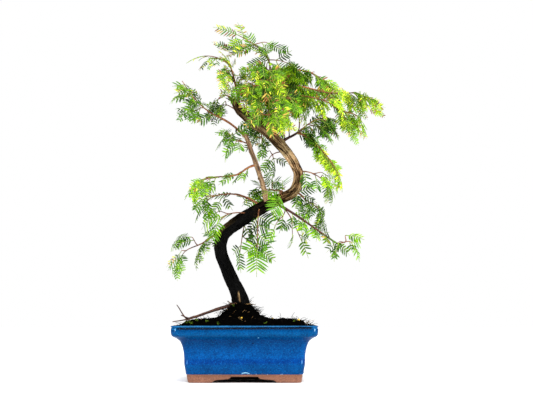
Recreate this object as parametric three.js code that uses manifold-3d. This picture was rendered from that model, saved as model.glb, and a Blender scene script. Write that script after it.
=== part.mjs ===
// A dawn redwood bonsai in a blue glazed pot, in millimetres, with +Z up and the front towards -Y.
// The tree is one S-shaped trunk, slim boughs, and masses of foliage. A mass is a stem that
// branches into shoots, and every shoot carries opposite pairs of flat sprays of needles.
import * as THREE from "three";
import { mergeVertices } from "three/addons/utils/BufferGeometryUtils.js";
import Module from "manifold-3d";

const wasm = await Module();
wasm.setup();

// Driving dimensions
const POT_LENGTH = 155;
const POT_DEPTH = 120;
const POT_HEIGHT = 60;
const FOOT_HEIGHT = 7.1;
const FLOOR = 6.5;
const WALL = 8.7;
const SOIL_PLATEAU = 66.5;
const TRUNK_FOOT_Z = 64;
const CLEAR = 0.3; // gap between neighbours that touch on the real tree

const UP = new THREE.Vector3(0, 0, 1);
const vec = (p) => new THREE.Vector3(...p);
const mix = (a, b, t) => a.clone().lerp(b, t);

// The same number from 0 to 1 each time for the same seed and step.
function chance(seed, step) {
  const value = Math.sin(seed * 12.9898 + step * 78.233) * 43758.5453;
  return value - Math.floor(value);
}

// Solids and meshes
function solidOf(geometry) {
  const bare = new THREE.BufferGeometry();
  bare.setAttribute("position", geometry.getAttribute("position").clone());
  if (geometry.index) bare.setIndex(geometry.index.clone());
  const merged = mergeVertices(bare, 1e-4);
  const vertProperties = merged.attributes.position.array;
  const triVerts = new Uint32Array(merged.index.array);
  return new wasm.Manifold(new wasm.Mesh({ numProp: 3, vertProperties, triVerts }));
}

// The largest body of a solid: a loose scrap is dropped.
function largest(solid) {
  return solid.decompose().sort((a, b) => b.volume() - a.volume())[0];
}

function geometryOf(solid) {
  const mesh = solid.getMesh();
  const geometry = new THREE.BufferGeometry();
  geometry.setAttribute("position", new THREE.BufferAttribute(mesh.vertProperties, 3));
  geometry.setIndex(new THREE.BufferAttribute(mesh.triVerts, 1));
  geometry.computeVertexNormals();
  return geometry;
}

const FINISHES = {
  glaze: { color: 0x1565b8, roughness: 0.22, metalness: 0 },
  clay: { color: 0x9a6248, roughness: 0.9, metalness: 0 },
  soil: { color: 0x1b1612, roughness: 1, metalness: 0 },
  bark: { color: 0x5c4733, roughness: 0.9, metalness: 0 },
  twig: { color: 0x7a4a2c, roughness: 0.8, metalness: 0 },
  needle: { color: 0x5fa32a, roughness: 0.6, metalness: 0 },
};
const MATERIALS = Object.fromEntries(
  Object.entries(FINISHES).map(([slot, look]) => [slot, new THREE.MeshStandardMaterial(look)]),
);

const tree = new THREE.Group();

function add(name, geometry, slot) {
  const mesh = new THREE.Mesh(geometry, MATERIALS[slot]);
  mesh.name = name;
  tree.add(mesh);
}

// Pot, cast in one piece: a rounded rectangle whose inset from the rim changes with height
const RIM_CORNER = 9;
const CORNER_STEPS = 3;
// Each pair is the inset of the outside from the rim's edge, and its height.
const OUTSIDE = [
  [16.2, FOOT_HEIGHT],
  [14.8, 13],
  [13.6, 20],
  [13.5, 26],
  [12.8, 33],
  [11.2, 39.5],
  [9.2, 43.8],
  [5.6, 46.8],
  [1, 49.6],
  [0.1, 52.6],
  [0, 56],
  [0.3, 58.4],
  [1.6, POT_HEIGHT],
];
const CAVITY_FLOOR_Z = FOOT_HEIGHT + FLOOR;
const RIM_WIDTH = 9.5;
const CAVITY = [
  [14.8 + WALL, CAVITY_FLOOR_Z],
  [12.8 + WALL, 33],
  [10.3 + WALL, 44],
  [RIM_WIDTH + 1.5, 52],
  [RIM_WIDTH, POT_HEIGHT + 1],
];

// The corners of a rounded rectangle that lies that far inside the rim.
function rimOutline(inset) {
  const x = POT_LENGTH / 2 - inset;
  const y = POT_DEPTH / 2 - inset;
  const r = RIM_CORNER - inset * 0.15;
  const outline = new THREE.Shape();
  outline.moveTo(x, y - r);
  outline.absarc(x - r, y - r, r, 0, Math.PI / 2);
  outline.absarc(r - x, y - r, r, Math.PI / 2, Math.PI);
  outline.absarc(r - x, r - y, r, Math.PI, Math.PI * 1.5);
  outline.absarc(x - r, r - y, r, Math.PI * 1.5, Math.PI * 2);
  return outline.getPoints(CORNER_STEPS).slice(1);
}

// A closed solid through a stack of rings with the same number of points, each ring of Vector3.
function stack(rings) {
  const size = rings[0].length;
  const middles = [rings[0], rings.at(-1)].map((ring) =>
    ring.reduce((sum, p) => sum.add(p), new THREE.Vector3()).divideScalar(size),
  );
  const index = [];
  const low = rings.length * size;
  rings[0].forEach((_, i) => {
    const next = (i + 1) % size;
    for (let k = 0; k < rings.length - 1; k++) {
      const [a, b] = [k * size + i, k * size + next];
      index.push(a, b, b + size, a, b + size, a + size);
    }
    const top = (rings.length - 1) * size;
    index.push(low, next, i, low + 1, top + i, top + next);
  });
  const geometry = new THREE.BufferGeometry().setFromPoints([...rings.flat(), ...middles]);
  return geometry.setIndex(index);
}

const level = (profile) =>
  profile.map(([inset, z]) => rimOutline(inset).map((p) => new THREE.Vector3(p.x, p.y, z)));

const cavity = solidOf(stack(level(CAVITY)));
add("pot_body", geometryOf(solidOf(stack(level(OUTSIDE))).subtract(cavity)), "glaze");

// Feet: the foot wall under the pot, opened on all four sides by a stepped arch
const FOOT_WALL = 10.4;
const FOOT_TAPER = 1.1;
const ARCH_TOP = 27.5; // length of the arch at its top
const ARCH_STEP = 5.5; // each curved rise, measured along the pot
const ARCH_SHELF = 10; // the sloping shelf between the two rises
const SHELF_Z = [3.2, 3.9];

// The opening between two feet, drawn over the ground line, with its top cut off by the pot.
function archOutline(top) {
  const half = top / 2;
  const over = FOOT_HEIGHT + 1;
  const right = new THREE.Path([new THREE.Vector2(half, over), new THREE.Vector2(half, FOOT_HEIGHT)]);
  right.quadraticCurveTo(half + ARCH_STEP * 0.3, SHELF_Z[1], half + ARCH_STEP, SHELF_Z[1]);
  right.lineTo(half + ARCH_STEP + ARCH_SHELF, SHELF_Z[0]);
  const end = half + 2 * ARCH_STEP + ARCH_SHELF;
  right.quadraticCurveTo(end - ARCH_STEP * 0.5, SHELF_Z[0] * 0.9, end, 0);
  right.lineTo(end, -1);
  const side = right.getPoints(4);
  return new THREE.Shape([...side, ...side.map((p) => new THREE.Vector2(-p.x, p.y)).reverse()]);
}

function archCutter(top, reach) {
  const depth = 2 * reach;
  const bar = new THREE.ExtrudeGeometry(archOutline(top), { depth, bevelEnabled: false });
  return bar.translate(0, 0, -reach).rotateX(Math.PI / 2);
}

const footInset = OUTSIDE[0][0];
const footRing = solidOf(
  stack(
    level([
      [footInset + FOOT_TAPER + 1, 0],
      [footInset + FOOT_TAPER, 1],
      [footInset, FOOT_HEIGHT],
    ]),
  ),
);
const footHollow = solidOf(
  stack(
    level([
      [footInset + FOOT_WALL, -1],
      [footInset + FOOT_WALL, FOOT_HEIGHT + 1],
    ]),
  ),
);
const sideArch = archCutter(ARCH_TOP - (POT_LENGTH - POT_DEPTH) * 0.45, POT_LENGTH).rotateZ(Math.PI / 2);
const feet = footRing
  .subtract(footHollow)
  .subtract(solidOf(archCutter(ARCH_TOP, POT_DEPTH)))
  .subtract(solidOf(sideArch));
for (const foot of feet.decompose()) {
  const { min } = foot.boundingBox();
  const name = `foot_${min[1] < 0 ? "front" : "back"}_${min[0] < 0 ? "left" : "right"}`;
  add(name, geometryOf(foot), "clay");
}

// Limbs: a round bar bent onto a path, with a radius that follows a rule. A grown bar is that
// much thicker and reaches that much past both its ends.
function limbGeometry(path, radiusAt, sides, steps, grown) {
  const geometry = new THREE.CylinderGeometry(1, 1, 1, sides, steps);
  const frames = path.computeFrenetFrames(steps);
  const place = geometry.getAttribute("position");
  const lengths = path.getLengths(steps);
  for (let i = 0; i < place.count; i++) {
    const t = place.getY(i) + 0.5;
    const ring = Math.round(t * steps);
    const angle = Math.atan2(place.getZ(i), place.getX(i));
    const spread = Math.hypot(place.getX(i), place.getZ(i));
    const radius = spread * (radiusAt(lengths[ring] / lengths[steps], angle) + grown);
    const past = ring === 0 ? -grown : ring === steps ? grown : 0;
    const point = path
      .getPointAt(t)
      .addScaledVector(frames.tangents[ring], past)
      .addScaledVector(frames.normals[ring], radius * Math.cos(angle))
      .addScaledVector(frames.binormals[ring], -radius * Math.sin(angle));
    place.setXYZ(i, point.x, point.y, point.z);
  }
  return geometry;
}

// Trunk
const TRUNK_SIDES = 12;
const TRUNK_STEPS = 30;
const TRUNK_PATH = new THREE.CatmullRomCurve3(
  [
    [-4, 0, TRUNK_FOOT_Z],
    [-6, 0, 90],
    [-15.5, -2, 113],
    [-26, -4, 139],
    [-24.5, -4, 158.5],
    [-11.5, -3.5, 170],
    [4, -2.5, 180],
    [29, 2, 195],
    [52.5, 5, 207.5],
    [58.5, 4, 226],
    [50, 2, 244.5],
    [31.5, -1, 266],
    [19.5, -3, 277.5],
    [7, -4, 286],
    [-7, -5, 297],
    [-13.5, -5, 308.5],
  ].map(vec),
  false,
  "catmullrom",
  0.5,
);
// Radius at each share of the trunk's length, from the flare to the broken top.
const TRUNK_RADII = [
  [0, 10.4],
  [0.04, 9.6],
  [0.08, 8.7],
  [0.12, 7.6],
  [0.2, 6.9],
  [0.27, 6.5],
  [0.32, 7.1],
  [0.42, 7],
  [0.48, 6.5],
  [0.54, 5.6],
  [0.6, 4.5],
  [0.66, 4.2],
  [0.72, 5],
  [0.8, 5.2],
  [0.84, 5],
  [0.89, 5.9],
  [0.92, 5.6],
  [0.96, 4.2],
  [1, 3.2],
];
const FLARE = 2.2; // how far the root buttresses stand out of the foot
const FLARE_REACH = 0.07; // share of the length over which they fade
const BUTTRESSES = 4;

function between(table, t) {
  const next = Math.max(1, table.findIndex(([at]) => at >= t));
  const [[t0, r0], [t1, r1]] = [table[next - 1], table[next]];
  return r0 + ((r1 - r0) * (t - t0)) / (t1 - t0);
}

const trunkRadius = (t, angle) => {
  const buttress = FLARE * Math.exp(-t / FLARE_REACH) * Math.cos(BUTTRESSES * angle);
  const flute = 0.05 * Math.cos(3 * angle + 7 * t);
  return between(TRUNK_RADII, t) * (1 + flute) + buttress;
};

// The dark splinter that points left from the broken top
const SPLINTER = new THREE.LineCurve3(vec([-9, -5, 304]), vec([-21.5, -6, 310.5]));
function trunkGrown(grown) {
  const stem = solidOf(limbGeometry(TRUNK_PATH, trunkRadius, TRUNK_SIDES, TRUNK_STEPS, grown));
  return stem.add(solidOf(limbGeometry(SPLINTER, (t) => 1.5 - 0.9 * t, 6, 2, grown)));
}
add("trunk", geometryOf(trunkGrown(0)), "bark");
const trunkClear = trunkGrown(CLEAR);

// Boughs
// A bough leaves the trunk, or another bough, at a share of its length, and runs to its tip.
// Its middle is raised by its arch, its radius falls from first to last, and its forks are bare
// twigs, each with its tip and the share of the bough where it leaves.
const BOUGHS = {
  straight_bough: { from: "trunk", at: 0.49, tip: [0, -3, 271], arch: 0, radii: [2.5, 2.3] },
  left_bough: { from: "straight_bough", at: 0.92, tip: [-29, -6, 289], arch: 4, radii: [1.3, 1] },
  left_middle_bough: {
    from: "straight_bough",
    at: 0.55,
    tip: [-10, -14, 224],
    arch: -1,
    radii: [1.2, 0.9],
  },
  leader_bough: { from: "trunk", at: 0.81, tip: [27, -4, 345], arch: -1, radii: [2.4, 1.1] },
  shoulder_bough: { from: "leader_bough", at: 0.92, tip: [66, 12, 345], arch: 3, radii: [1.2, 0.9] },
  right_bough: { from: "leader_bough", at: 0.7, tip: [84, 4, 320], arch: 4, radii: [1.3, 0.9] },
  front_right_bough: { from: "leader_bough", at: 0.52, tip: [64, -26, 309], arch: 3, radii: [1.2, 0.9] },
  twiggy_bough: {
    from: "trunk",
    at: 0.78,
    tip: [62, 13, 278],
    arch: -2,
    radii: [1.9, 1.1],
    forks: [
      [[60, 12, 300], 0.75],
      [[48, -2, 277], 0.4],
    ],
  },
  tail_bough: { from: "twiggy_bough", at: 0.8, tip: [72, 3, 266], arch: 2, radii: [1.1, 0.9] },
  front_bough: { from: "trunk", at: 0.89, tip: [20, -26, 298], arch: 5, radii: [1.6, 1.1] },
  top_left_bough: { from: "trunk", at: 0.945, tip: [-15, -10, 340], arch: 2, radii: [1.4, 1] },
  back_bough: { from: "trunk", at: 0.875, tip: [24, 30, 300], arch: 4, radii: [1.7, 1.1] },
  back_left_bough: { from: "trunk", at: 0.96, tip: [-20, 22, 318], arch: 3, radii: [1.4, 1] },
  back_high_bough: { from: "leader_bough", at: 0.84, tip: [42, 26, 338], arch: 3, radii: [1.2, 0.9] },
  left_low_bough: { from: "trunk", at: 0.475, tip: [-13, 8, 205], arch: 4, radii: [1.3, 0.9] },
  left_bottom_bough: { from: "trunk", at: 0.32, tip: [-44, 7, 153], arch: 3, radii: [1.3, 1] },
  right_long_bough: { from: "trunk", at: 0.512, tip: [98, -14, 150], arch: 0, radii: [1.5, 0.9] },
  right_back_bough: { from: "trunk", at: 0.59, tip: [64, 22, 203], arch: 3, radii: [1.3, 0.9] },
  back_low_bough: { from: "trunk", at: 0.565, tip: [34, 32, 212], arch: 3, radii: [1.4, 1] },
  low_bough: {
    from: "trunk",
    at: 0.06,
    tip: [-63, -29, 66.5],
    arch: -0.5,
    radii: [1.5, 1],
    forks: [
      [[-73, -28, 82], 0.94],
      [[-77, -32, 64], 0.97],
      [[-68, -33, 71], 0.9],
    ],
  },
};

// A cubic curve that starts along a heading and comes into its tip from above by the arch.
function sweep(start, heading, tip, arch) {
  const reach = start.distanceTo(tip);
  const leaving = start.clone().addScaledVector(heading, reach * 0.33);
  const arriving = mix(tip, start, 0.33).addScaledVector(UP, arch);
  return new THREE.CubicBezierCurve3(start, leaving, arriving, tip);
}

// Curve, radii and grown solid of every limb by name
const limbs = { trunk: { path: TRUNK_PATH, radii: TRUNK_RADII, clear: trunkClear } };

for (const [name, { from, at, tip, arch, radii, forks = [] }] of Object.entries(BOUGHS)) {
  const parent = limbs[from];
  const start = parent.path.getPointAt(at);
  const outward = vec(tip).sub(start).normalize();
  const along = parent.path.getTangentAt(at);
  const heading = mix(outward, along, from === "trunk" ? 0.15 : 0.35).normalize();
  const path = sweep(start, heading, vec(tip), arch);
  const table = [
    [0, radii[0]],
    [1, radii[1]],
  ];
  const sides = radii[0] > 1.8 ? 8 : 6;
  const steps = Math.max(3, Math.round(path.getLength() / 11));
  const bar = (grown) => {
    const bars = [limbGeometry(path, (t) => between(table, t), sides, steps, grown)];
    for (const [end, share] of forks) {
      const fork = sweep(path.getPointAt(share), path.getTangentAt(share), vec(end), 0);
      bars.push(limbGeometry(fork, (t) => 0.8 - 0.35 * t, 5, 3, grown));
    }
    return wasm.Manifold.union(bars.map(solidOf));
  };
  limbs[name] = { path, radii: table, clear: bar(CLEAR) };
  add(name, geometryOf(largest(bar(0).subtract(parent.clear))), radii[0] > 1.55 ? "bark" : "twig");
}

// Soil, mounded round the foot of the trunk and cut clear of it and of the low bough
const SOIL_EDGE_Z = 58.5;
const MOUND_RISE = 17;
const MOUND_REACH = 12;
const MOUND_MIDDLE = new THREE.Vector2(-5, 0);
const SOIL_RINGS = [0.05, 0.15, 0.35, 0.6, 0.77, 0.88];

function soilHeight(x, y) {
  const inset = RIM_WIDTH + CLEAR;
  const edge = Math.max(0, Math.min(POT_LENGTH / 2 - Math.abs(x), POT_DEPTH / 2 - Math.abs(y)) - inset);
  const rise = (SOIL_PLATEAU - SOIL_EDGE_Z) * (1 - Math.exp(-edge / 6));
  const away = Math.max(0, MOUND_MIDDLE.distanceTo(new THREE.Vector2(x, y)) - 8) / MOUND_REACH;
  const clods = 0.7 * Math.sin(x * 0.31 + 1) * Math.cos(y * 0.27) * Math.min(1, edge / 8);
  return SOIL_EDGE_Z + rise + MOUND_RISE * Math.exp(-away * away) + clods;
}

const soilWall = level(
  CAVITY.slice(0, -1).map(([inset, z], k) => [inset + CLEAR, z + (k ? 0 : CLEAR)]),
);
const soilRim = rimOutline(RIM_WIDTH + 0.6 + CLEAR);
const soilTop = [0, ...SOIL_RINGS].map((share) =>
  soilRim.map((edge) => {
    const p = edge.clone().lerp(MOUND_MIDDLE, share);
    return new THREE.Vector3(p.x, p.y, soilHeight(p.x, p.y));
  }),
);
const filling = solidOf(stack([...soilWall, ...soilTop])).subtract(trunkClear);
add("soil", geometryOf(filling.subtract(limbs.low_bough.clear)), "soil");

// Masses of foliage
// A mass goes on from its bough's end, or from the trunk at a share of its length, to its tip.
// sides is how many side shoots its stem has, spray is the length of a spray and of its needles,
// and extra are the tips of shoots that stand out by themselves, with the share of the stem where
// each leaves.
const MASSES = {
  apex_mass: {
    from: "leader_bough",
    tip: [-27, 2, 391],
    arch: 7,
    sides: 1,
    spray: [30, 12],
    extra: [
      [[68, -15, 335], 0.25],
      [[-18, 10, 366], 0.4],
      [[42, -10, 362], 0.6],
    ],
  },
  top_left_mass: { from: "top_left_bough", tip: [-68, -18, 352], arch: 9, sides: 1, spray: [24, 9] },
  crown_top_left_mass: {
    from: "top_left_bough",
    at: 0.75,
    tip: [-37, -24, 317],
    arch: 10,
    sides: 2,
    spray: [26, 11],
  },
  crown_left_mass: { from: "trunk", at: 0.955, tip: [-42, -2, 292], arch: 8, sides: 2, spray: [22, 10] },
  crown_front_mass: {
    from: "leader_bough",
    at: 0.79,
    tip: [2, -50, 296],
    arch: 18,
    sides: 5,
    spray: [27, 12],
  },
  crown_middle_mass: {
    from: "leader_bough",
    at: 0.6,
    tip: [58, -56, 284],
    arch: 14,
    sides: 5,
    spray: [27, 12],
  },
  front_mass: { from: "front_bough", tip: [28, -62, 258], arch: 20, sides: 4, spray: [27, 12] },
  shoulder_mass: {
    from: "shoulder_bough",
    tip: [101, 18, 320],
    arch: 12,
    sides: 3,
    spray: [26, 12],
    extra: [
      [[76, 34, 352], 0.3],
    ],
  },
  right_tip_mass: { from: "right_bough", tip: [153, 0, 306], arch: 6, sides: 3, spray: [27, 11] },
  cascade_mass: { from: "front_right_bough", tip: [131, -30, 261], arch: 20, sides: 3, spray: [28, 12] },
  right_under_mass: { from: "twiggy_bough", tip: [108, 18, 276], arch: 12, sides: 3, spray: [26, 12] },
  tail_mass: { from: "tail_bough", tip: [112, -18, 199], arch: 14, sides: 0, spray: [27, 13] },
  back_mass: { from: "back_bough", tip: [20, 72, 268], arch: 20, sides: 3, spray: [28, 12] },
  back_left_mass: { from: "back_left_bough", tip: [-40, 52, 296], arch: 15, sides: 3, spray: [27, 12] },
  back_high_mass: { from: "back_high_bough", tip: [62, 66, 312], arch: 16, sides: 3, spray: [27, 12] },
  left_high_mass: { from: "left_bough", tip: [-83, -10, 349], arch: -10, sides: 3, spray: [26, 12] },
  hanging_mass: {
    from: "straight_bough",
    at: 0.86,
    tip: [-27, -14, 242],
    arch: 16,
    sides: 2,
    spray: [25, 12],
  },
  centre_mass: { from: "trunk", at: 0.865, tip: [18, 26, 246], arch: 12, sides: 2, spray: [24, 11] },
  inner_mass: { from: "trunk", at: 0.745, tip: [16, 18, 232], arch: 8, sides: 1, spray: [22, 10] },
  left_middle_mass: {
    from: "left_middle_bough",
    tip: [-67, -30, 200],
    arch: 12,
    sides: 2,
    spray: [24, 10],
  },
  left_low_mass: { from: "left_low_bough", tip: [-60, 20, 180], arch: 12, sides: 2, spray: [25, 11] },
  left_fan_mass: { from: "trunk", at: 0.43, tip: [-41, -34, 151], arch: 18, sides: 1, spray: [32, 14] },
  left_bottom_mass: { from: "left_bottom_bough", tip: [-81, 12, 119], arch: 12, sides: 3, spray: [25, 11] },
  right_low_mass: { from: "trunk", at: 0.665, tip: [98, -16, 201], arch: 10, sides: 2, spray: [25, 12] },
  right_back_mass: { from: "right_back_bough", tip: [92, 30, 168], arch: 10, sides: 2, spray: [26, 12] },
  right_long_mass: {
    from: "right_long_bough",
    tip: [128, -22, 131],
    arch: 10,
    sides: 2,
    spray: [25, 12],
    extra: [
      [[94, -26, 134], 0.1],
    ],
  },
  back_low_mass: { from: "back_low_bough", tip: [10, 66, 192], arch: 14, sides: 2, spray: [28, 12] },
  under_left_mass: { from: "trunk", at: 0.46, tip: [12, -34, 116], arch: 16, sides: 0, spray: [32, 14] },
  under_right_mass: {
    from: "trunk",
    at: 0.505,
    tip: [70, 12, 136],
    arch: 14,
    sides: 1,
    spray: [24, 11],
    extra: [
      [[28, -16, 152], 0.2],
    ],
  },
  under_back_mass: { from: "trunk", at: 0.42, tip: [-10, 34, 122], arch: 12, sides: 1, spray: [26, 12] },
  front_low_mass: { from: "trunk", at: 0.55, tip: [34, -38, 181], arch: 14, sides: 1, spray: [30, 15] },
  crown_top_mass: { from: "leader_bough", at: 0.95, tip: [4, -34, 330], arch: 9, sides: 3, spray: [26, 11] },
};

// A strand is a strip with a ridge on top, two lower edges and a point at its end. On its right
// and its left, every interval between two rings can hold a needle or another strand.
class Skin {
  points = [];
  index = [];

  ring({ at, along, up, half, thick }) {
    const right = along.clone().cross(up).normalize().multiplyScalar(half);
    const low = at.clone().addScaledVector(up, -thick);
    const top = at.clone().addScaledVector(up, thick);
    const last = this.points.push(top, low.clone().add(right), low.sub(right)) - 1;
    return [last - 2, last - 1, last];
  }

  quad(a, b, c, d) {
    this.index.push(a, b, c, a, c, d);
  }

  side(a, b, c, d, held) {
    if (!held) this.quad(a, b, c, d);
    else if (held.isVector3) {
      const tip = this.points.push(held) - 1;
      this.index.push(a, b, tip, b, c, tip, c, d, tip, d, a, tip);
    } else {
      const [t, r, l] = this.grow(held);
      this.index.push(a, b, r, a, r, t, b, c, l, b, l, r, c, d, t, c, t, l, d, a, t);
    }
  }

  grow({ rings, held, tip }) {
    const made = rings.map((ring) => this.ring(ring));
    made.slice(1).forEach(([t1, r1, l1], i) => {
      const [t0, r0, l0] = made[i];
      const [right, left] = held[i] ?? [];
      this.quad(r1, r0, l0, l1);
      this.side(t0, r0, r1, t1, right);
      this.side(t1, l1, l0, t0, left);
    });
    const [t, r, l] = made.at(-1);
    const end = this.points.push(tip) - 1;
    this.index.push(t, r, end, r, l, end, l, t, end);
    return made[0];
  }
}

function skinOf(strand) {
  const skin = new Skin();
  const [t, r, l] = skin.grow(strand);
  skin.index.push(t, l, r);
  return solidOf(new THREE.BufferGeometry().setFromPoints(skin.points).setIndex(skin.index));
}

// The point, heading and upper side at any share of a path. The upper side rolls slowly from
// side to side along the path, so that the sprays face more ways than one.
const FRAME_STEPS = 24;
const ROLL = 0.8;

function frameOf(path, first, phase) {
  const ups = [first.clone()];
  const square = (up, along) => up.clone().addScaledVector(along, -up.dot(along)).normalize();
  for (let i = 0; i <= FRAME_STEPS; i++) ups.push(square(ups.at(-1), path.getTangentAt(i / FRAME_STEPS)));
  return (t) => {
    const along = path.getTangentAt(t);
    const up = square(ups[Math.round(t * FRAME_STEPS) + 1], along);
    up.applyAxisAngle(along, ROLL * Math.sin(phase + 4 * t));
    return { at: path.getPointAt(t), along, up };
  };
}

// A curve that leaves its start along a heading, rises over its arch and stops short of its tip,
// where a last spray of that length goes on.
function reachOut(start, heading, tip, arch, spray) {
  const crest = mix(tip, start, 0.42).addScaledVector(UP, arch);
  const last = tip.clone().sub(crest).normalize();
  const end = tip.clone().addScaledVector(last, -0.9 * spray);
  const reach = start.distanceTo(end);
  const leaving = start.clone().addScaledVector(heading, reach * 0.35);
  const arriving = end.clone().addScaledVector(last, -reach * 0.33);
  return new THREE.CubicBezierCurve3(start, leaving, arriving, end);
}

// A shoot has sites where sprays stand in opposite pairs. A site is a share of its path, and
// what it holds on its right and on its left.
const SITE_STEP = 11;
const SHOOT_ANGLE = 0.85;

function shootOf(mass, path, up) {
  const length = path.getLength();
  const count = Math.round((length - 4) / SITE_STEP);
  const sites = Array.from({ length: count }, (_, i) => ({ at: (i + 0.72) / (count + 0.2), held: [] }));
  return { mass, path, length, frame: frameOf(path, up, 7 * chance(mass.seed, length)), sites };
}

function stemOf(mass) {
  const { path, radii } = limbs[mass.from];
  const tip = vec(mass.tip);
  const [at, inside] = mass.at ? [mass.at, between(radii, mass.at)] : [1, -CLEAR];
  const base = path.getPointAt(at);
  const ahead = mass.at ? tip.clone().sub(base).setZ(4).normalize() : path.getTangentAt(1);
  const start = mass.at ? base : base.clone().addScaledVector(ahead, CLEAR);
  const stem = shootOf(mass, reachOut(start, ahead, tip, mass.arch, mass.spray), UP);
  stem.sites = stem.sites.filter((site) => site.at * stem.length > inside + 3);
  return stem;
}

// A side shoot that leaves the stem at a site towards a point, and the side it is on
function branchTo(mass, stem, site, to, lift) {
  const { at, along, up } = stem.frame(site.at);
  const outward = to.clone().sub(at).normalize();
  const side = outward.dot(along.clone().cross(up)) > 0 ? 0 : 1;
  const heading = mix(outward, along, 0.3).normalize();
  return [shootOf(mass, reachOut(at, heading, to, lift, mass.spray * 0.8), up), side];
}

// The planned side shoots of a stem: each with its site, the point it reaches for and its lift
function plansOf(mass, stem) {
  const near = (share) => (a, b) => (Math.abs(a.at - share) < Math.abs(b.at - share) ? a : b);
  const named = (mass.extra ?? []).map(([far, share]) => [
    stem.sites.reduce(near(share)),
    vec(far),
    mass.arch * 0.6,
  ]);
  const ruled = stem.sites.slice(1, 1 + mass.sides).map((site, k) => {
    const { at, along } = stem.frame(site.at);
    const across = along.clone().cross(UP).setLength((k + mass.seed) % 2 ? -1 : 1);
    const angle = SHOOT_ANGLE + 0.3 * chance(mass.seed, k);
    const reach = stem.length * (0.75 - 0.4 * site.at) + mass.spray * 0.5;
    const to = at.clone().addScaledVector(along, Math.cos(angle) * reach);
    to.addScaledVector(across, Math.sin(angle) * reach);
    to.z -= reach * (0.1 + 0.25 * chance(mass.seed, k + 40));
    return [site, to, mass.arch * 0.3];
  });
  return [...named, ...ruled];
}

// One flat spray of needles: its rib bends down along an arc, and its needles, which are longest
// in the middle, droop a little. It starts at its root, on the axis of the shoot that holds it.
const RIB = { half: 0.5, thick: 0.4 };
const STALK = 3; // from the root to the rib's first ring
const RIB_DROOP = 0.5; // radians that a rib turns down from its root to its end
const PAIR_STEP = 4.6; // distance between pairs of needles

function sprayStrand({ root, lean, face, length, needle }, grown) {
  const across = lean.clone().cross(face).normalize();
  const up = across.clone().cross(lean);
  const curl = RIB_DROOP / length;
  const put = (x, y, z) => {
    const turn = curl * x;
    return root
      .clone()
      .addScaledVector(lean, Math.sin(turn) / curl + z * Math.sin(turn))
      .addScaledVector(across, y)
      .addScaledVector(up, (Math.cos(turn) - 1) / curl + z * Math.cos(turn));
  };
  const ribEnd = length - needle * 0.6;
  const pairs = Math.round((ribEnd - STALK) / PAIR_STEP);
  const step = (ribEnd - STALK) / pairs;
  const rings = [];
  const held = [];
  for (let i = 0; i <= pairs; i++) {
    const x = STALK + step * i;
    const slim = 1 - (0.4 * i) / pairs;
    const along = put(x + 0.1, 0, 0).sub(put(x, 0, 0)).normalize();
    const [half, thick] = [RIB.half * slim + grown, RIB.thick * slim + grown];
    rings.push({ at: put(x, 0, 0), along, up: across.clone().cross(along), half, thick });
    if (i === pairs) break;
    const share = (i + 0.5) / pairs;
    const size = needle * (0.68 + 1.25 * share - 1.35 * share * share) + grown;
    const tipX = x + step / 2 + size * (0.4 + 0.3 * share);
    const drop = -size * 0.16;
    held.push([put(tipX, size * 0.9, drop), put(tipX, -size * 0.9, drop)]);
  }
  return { rings, held, tip: put(length, 0, 0) };
}

// A spray faces the way its shoot's upper side does, turned by chance, and leans forward.
function sprayAt(mass, { at, along, up }, side, share, step) {
  const random = (n) => chance(mass.seed, step + n / 10);
  const right = along.clone().cross(up);
  const face = up.clone().addScaledVector(right, (random(1) - 0.5) * 0.7);
  face.addScaledVector(along, (random(2) - 0.5) * 0.5).normalize();
  const angle = SHOOT_ANGLE + 0.35 * random(3);
  const lean = along.clone();
  if (side !== null) {
    lean.multiplyScalar(Math.cos(angle)).addScaledVector(right, Math.sin(angle) * (side ? -1 : 1));
    lean.z -= 0.2;
    lean.normalize();
  }
  const size = side === null ? 1 : 1.05 - 0.25 * share - 0.25 * random(4);
  return { root: at, lean, face, length: mass.spray * size, needle: mass.needle };
}

// The strand of a whole shoot, with all that its sites hold and its last spray.
const STEM_HALF = [0.85, 0.55];
const SITE_HALF_LENGTH = 0.9;

function shootStrand({ path, length, frame, sites, end }, isSide, grown) {
  const ring = (t) => {
    const size = STEM_HALF[0] + (STEM_HALF[1] - STEM_HALF[0]) * t;
    return { ...frame(t), half: size + grown, thick: size * 0.75 + grown };
  };
  const first = isSide ? STALK / length : 0;
  const rings = [ring(first)];
  const held = [];
  for (const site of sites) {
    const reach = SITE_HALF_LENGTH / length;
    rings.push(ring(Math.max(site.at - reach, first + reach)), ring(site.at + reach));
    held.push([], site.held);
  }
  if (!end) {
    return { rings: [...rings, ring(0.96)], held, tip: path.getPointAt(1) };
  }
  return { rings: [...rings, ...end.rings], held: [...held, [], ...end.held], tip: end.tip };
}

// Every spray is tried a few ways round, against a thicker copy of all that stands already. One
// that finds no room is left out.
const TRIES = 10;
const MARGIN = 0.25;
const taken = Object.values(limbs).map(({ clear }) => clear);
const boxes = taken.map((solid) => solid.boundingBox());
const apart = (a, b) => [0, 1, 2].some((k) => a.min[k] > b.max[k] || b.min[k] > a.max[k]);

function occupy(strand) {
  const solid = skinOf(strand);
  const box = solid.boundingBox();
  if (taken.some((other, i) => !apart(box, boxes[i]) && !other.intersect(solid).isEmpty())) return false;
  taken.push(solid);
  boxes.push(box);
  return true;
}

function placeSpray(mass, frame, side, share, step) {
  for (let attempt = 0; attempt < TRIES; attempt++) {
    const spray = sprayAt(mass, frame, side, share, step + 0.01 * attempt);
    if (occupy(sprayStrand(spray, MARGIN))) return sprayStrand(spray, 0);
  }
  return null;
}

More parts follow.
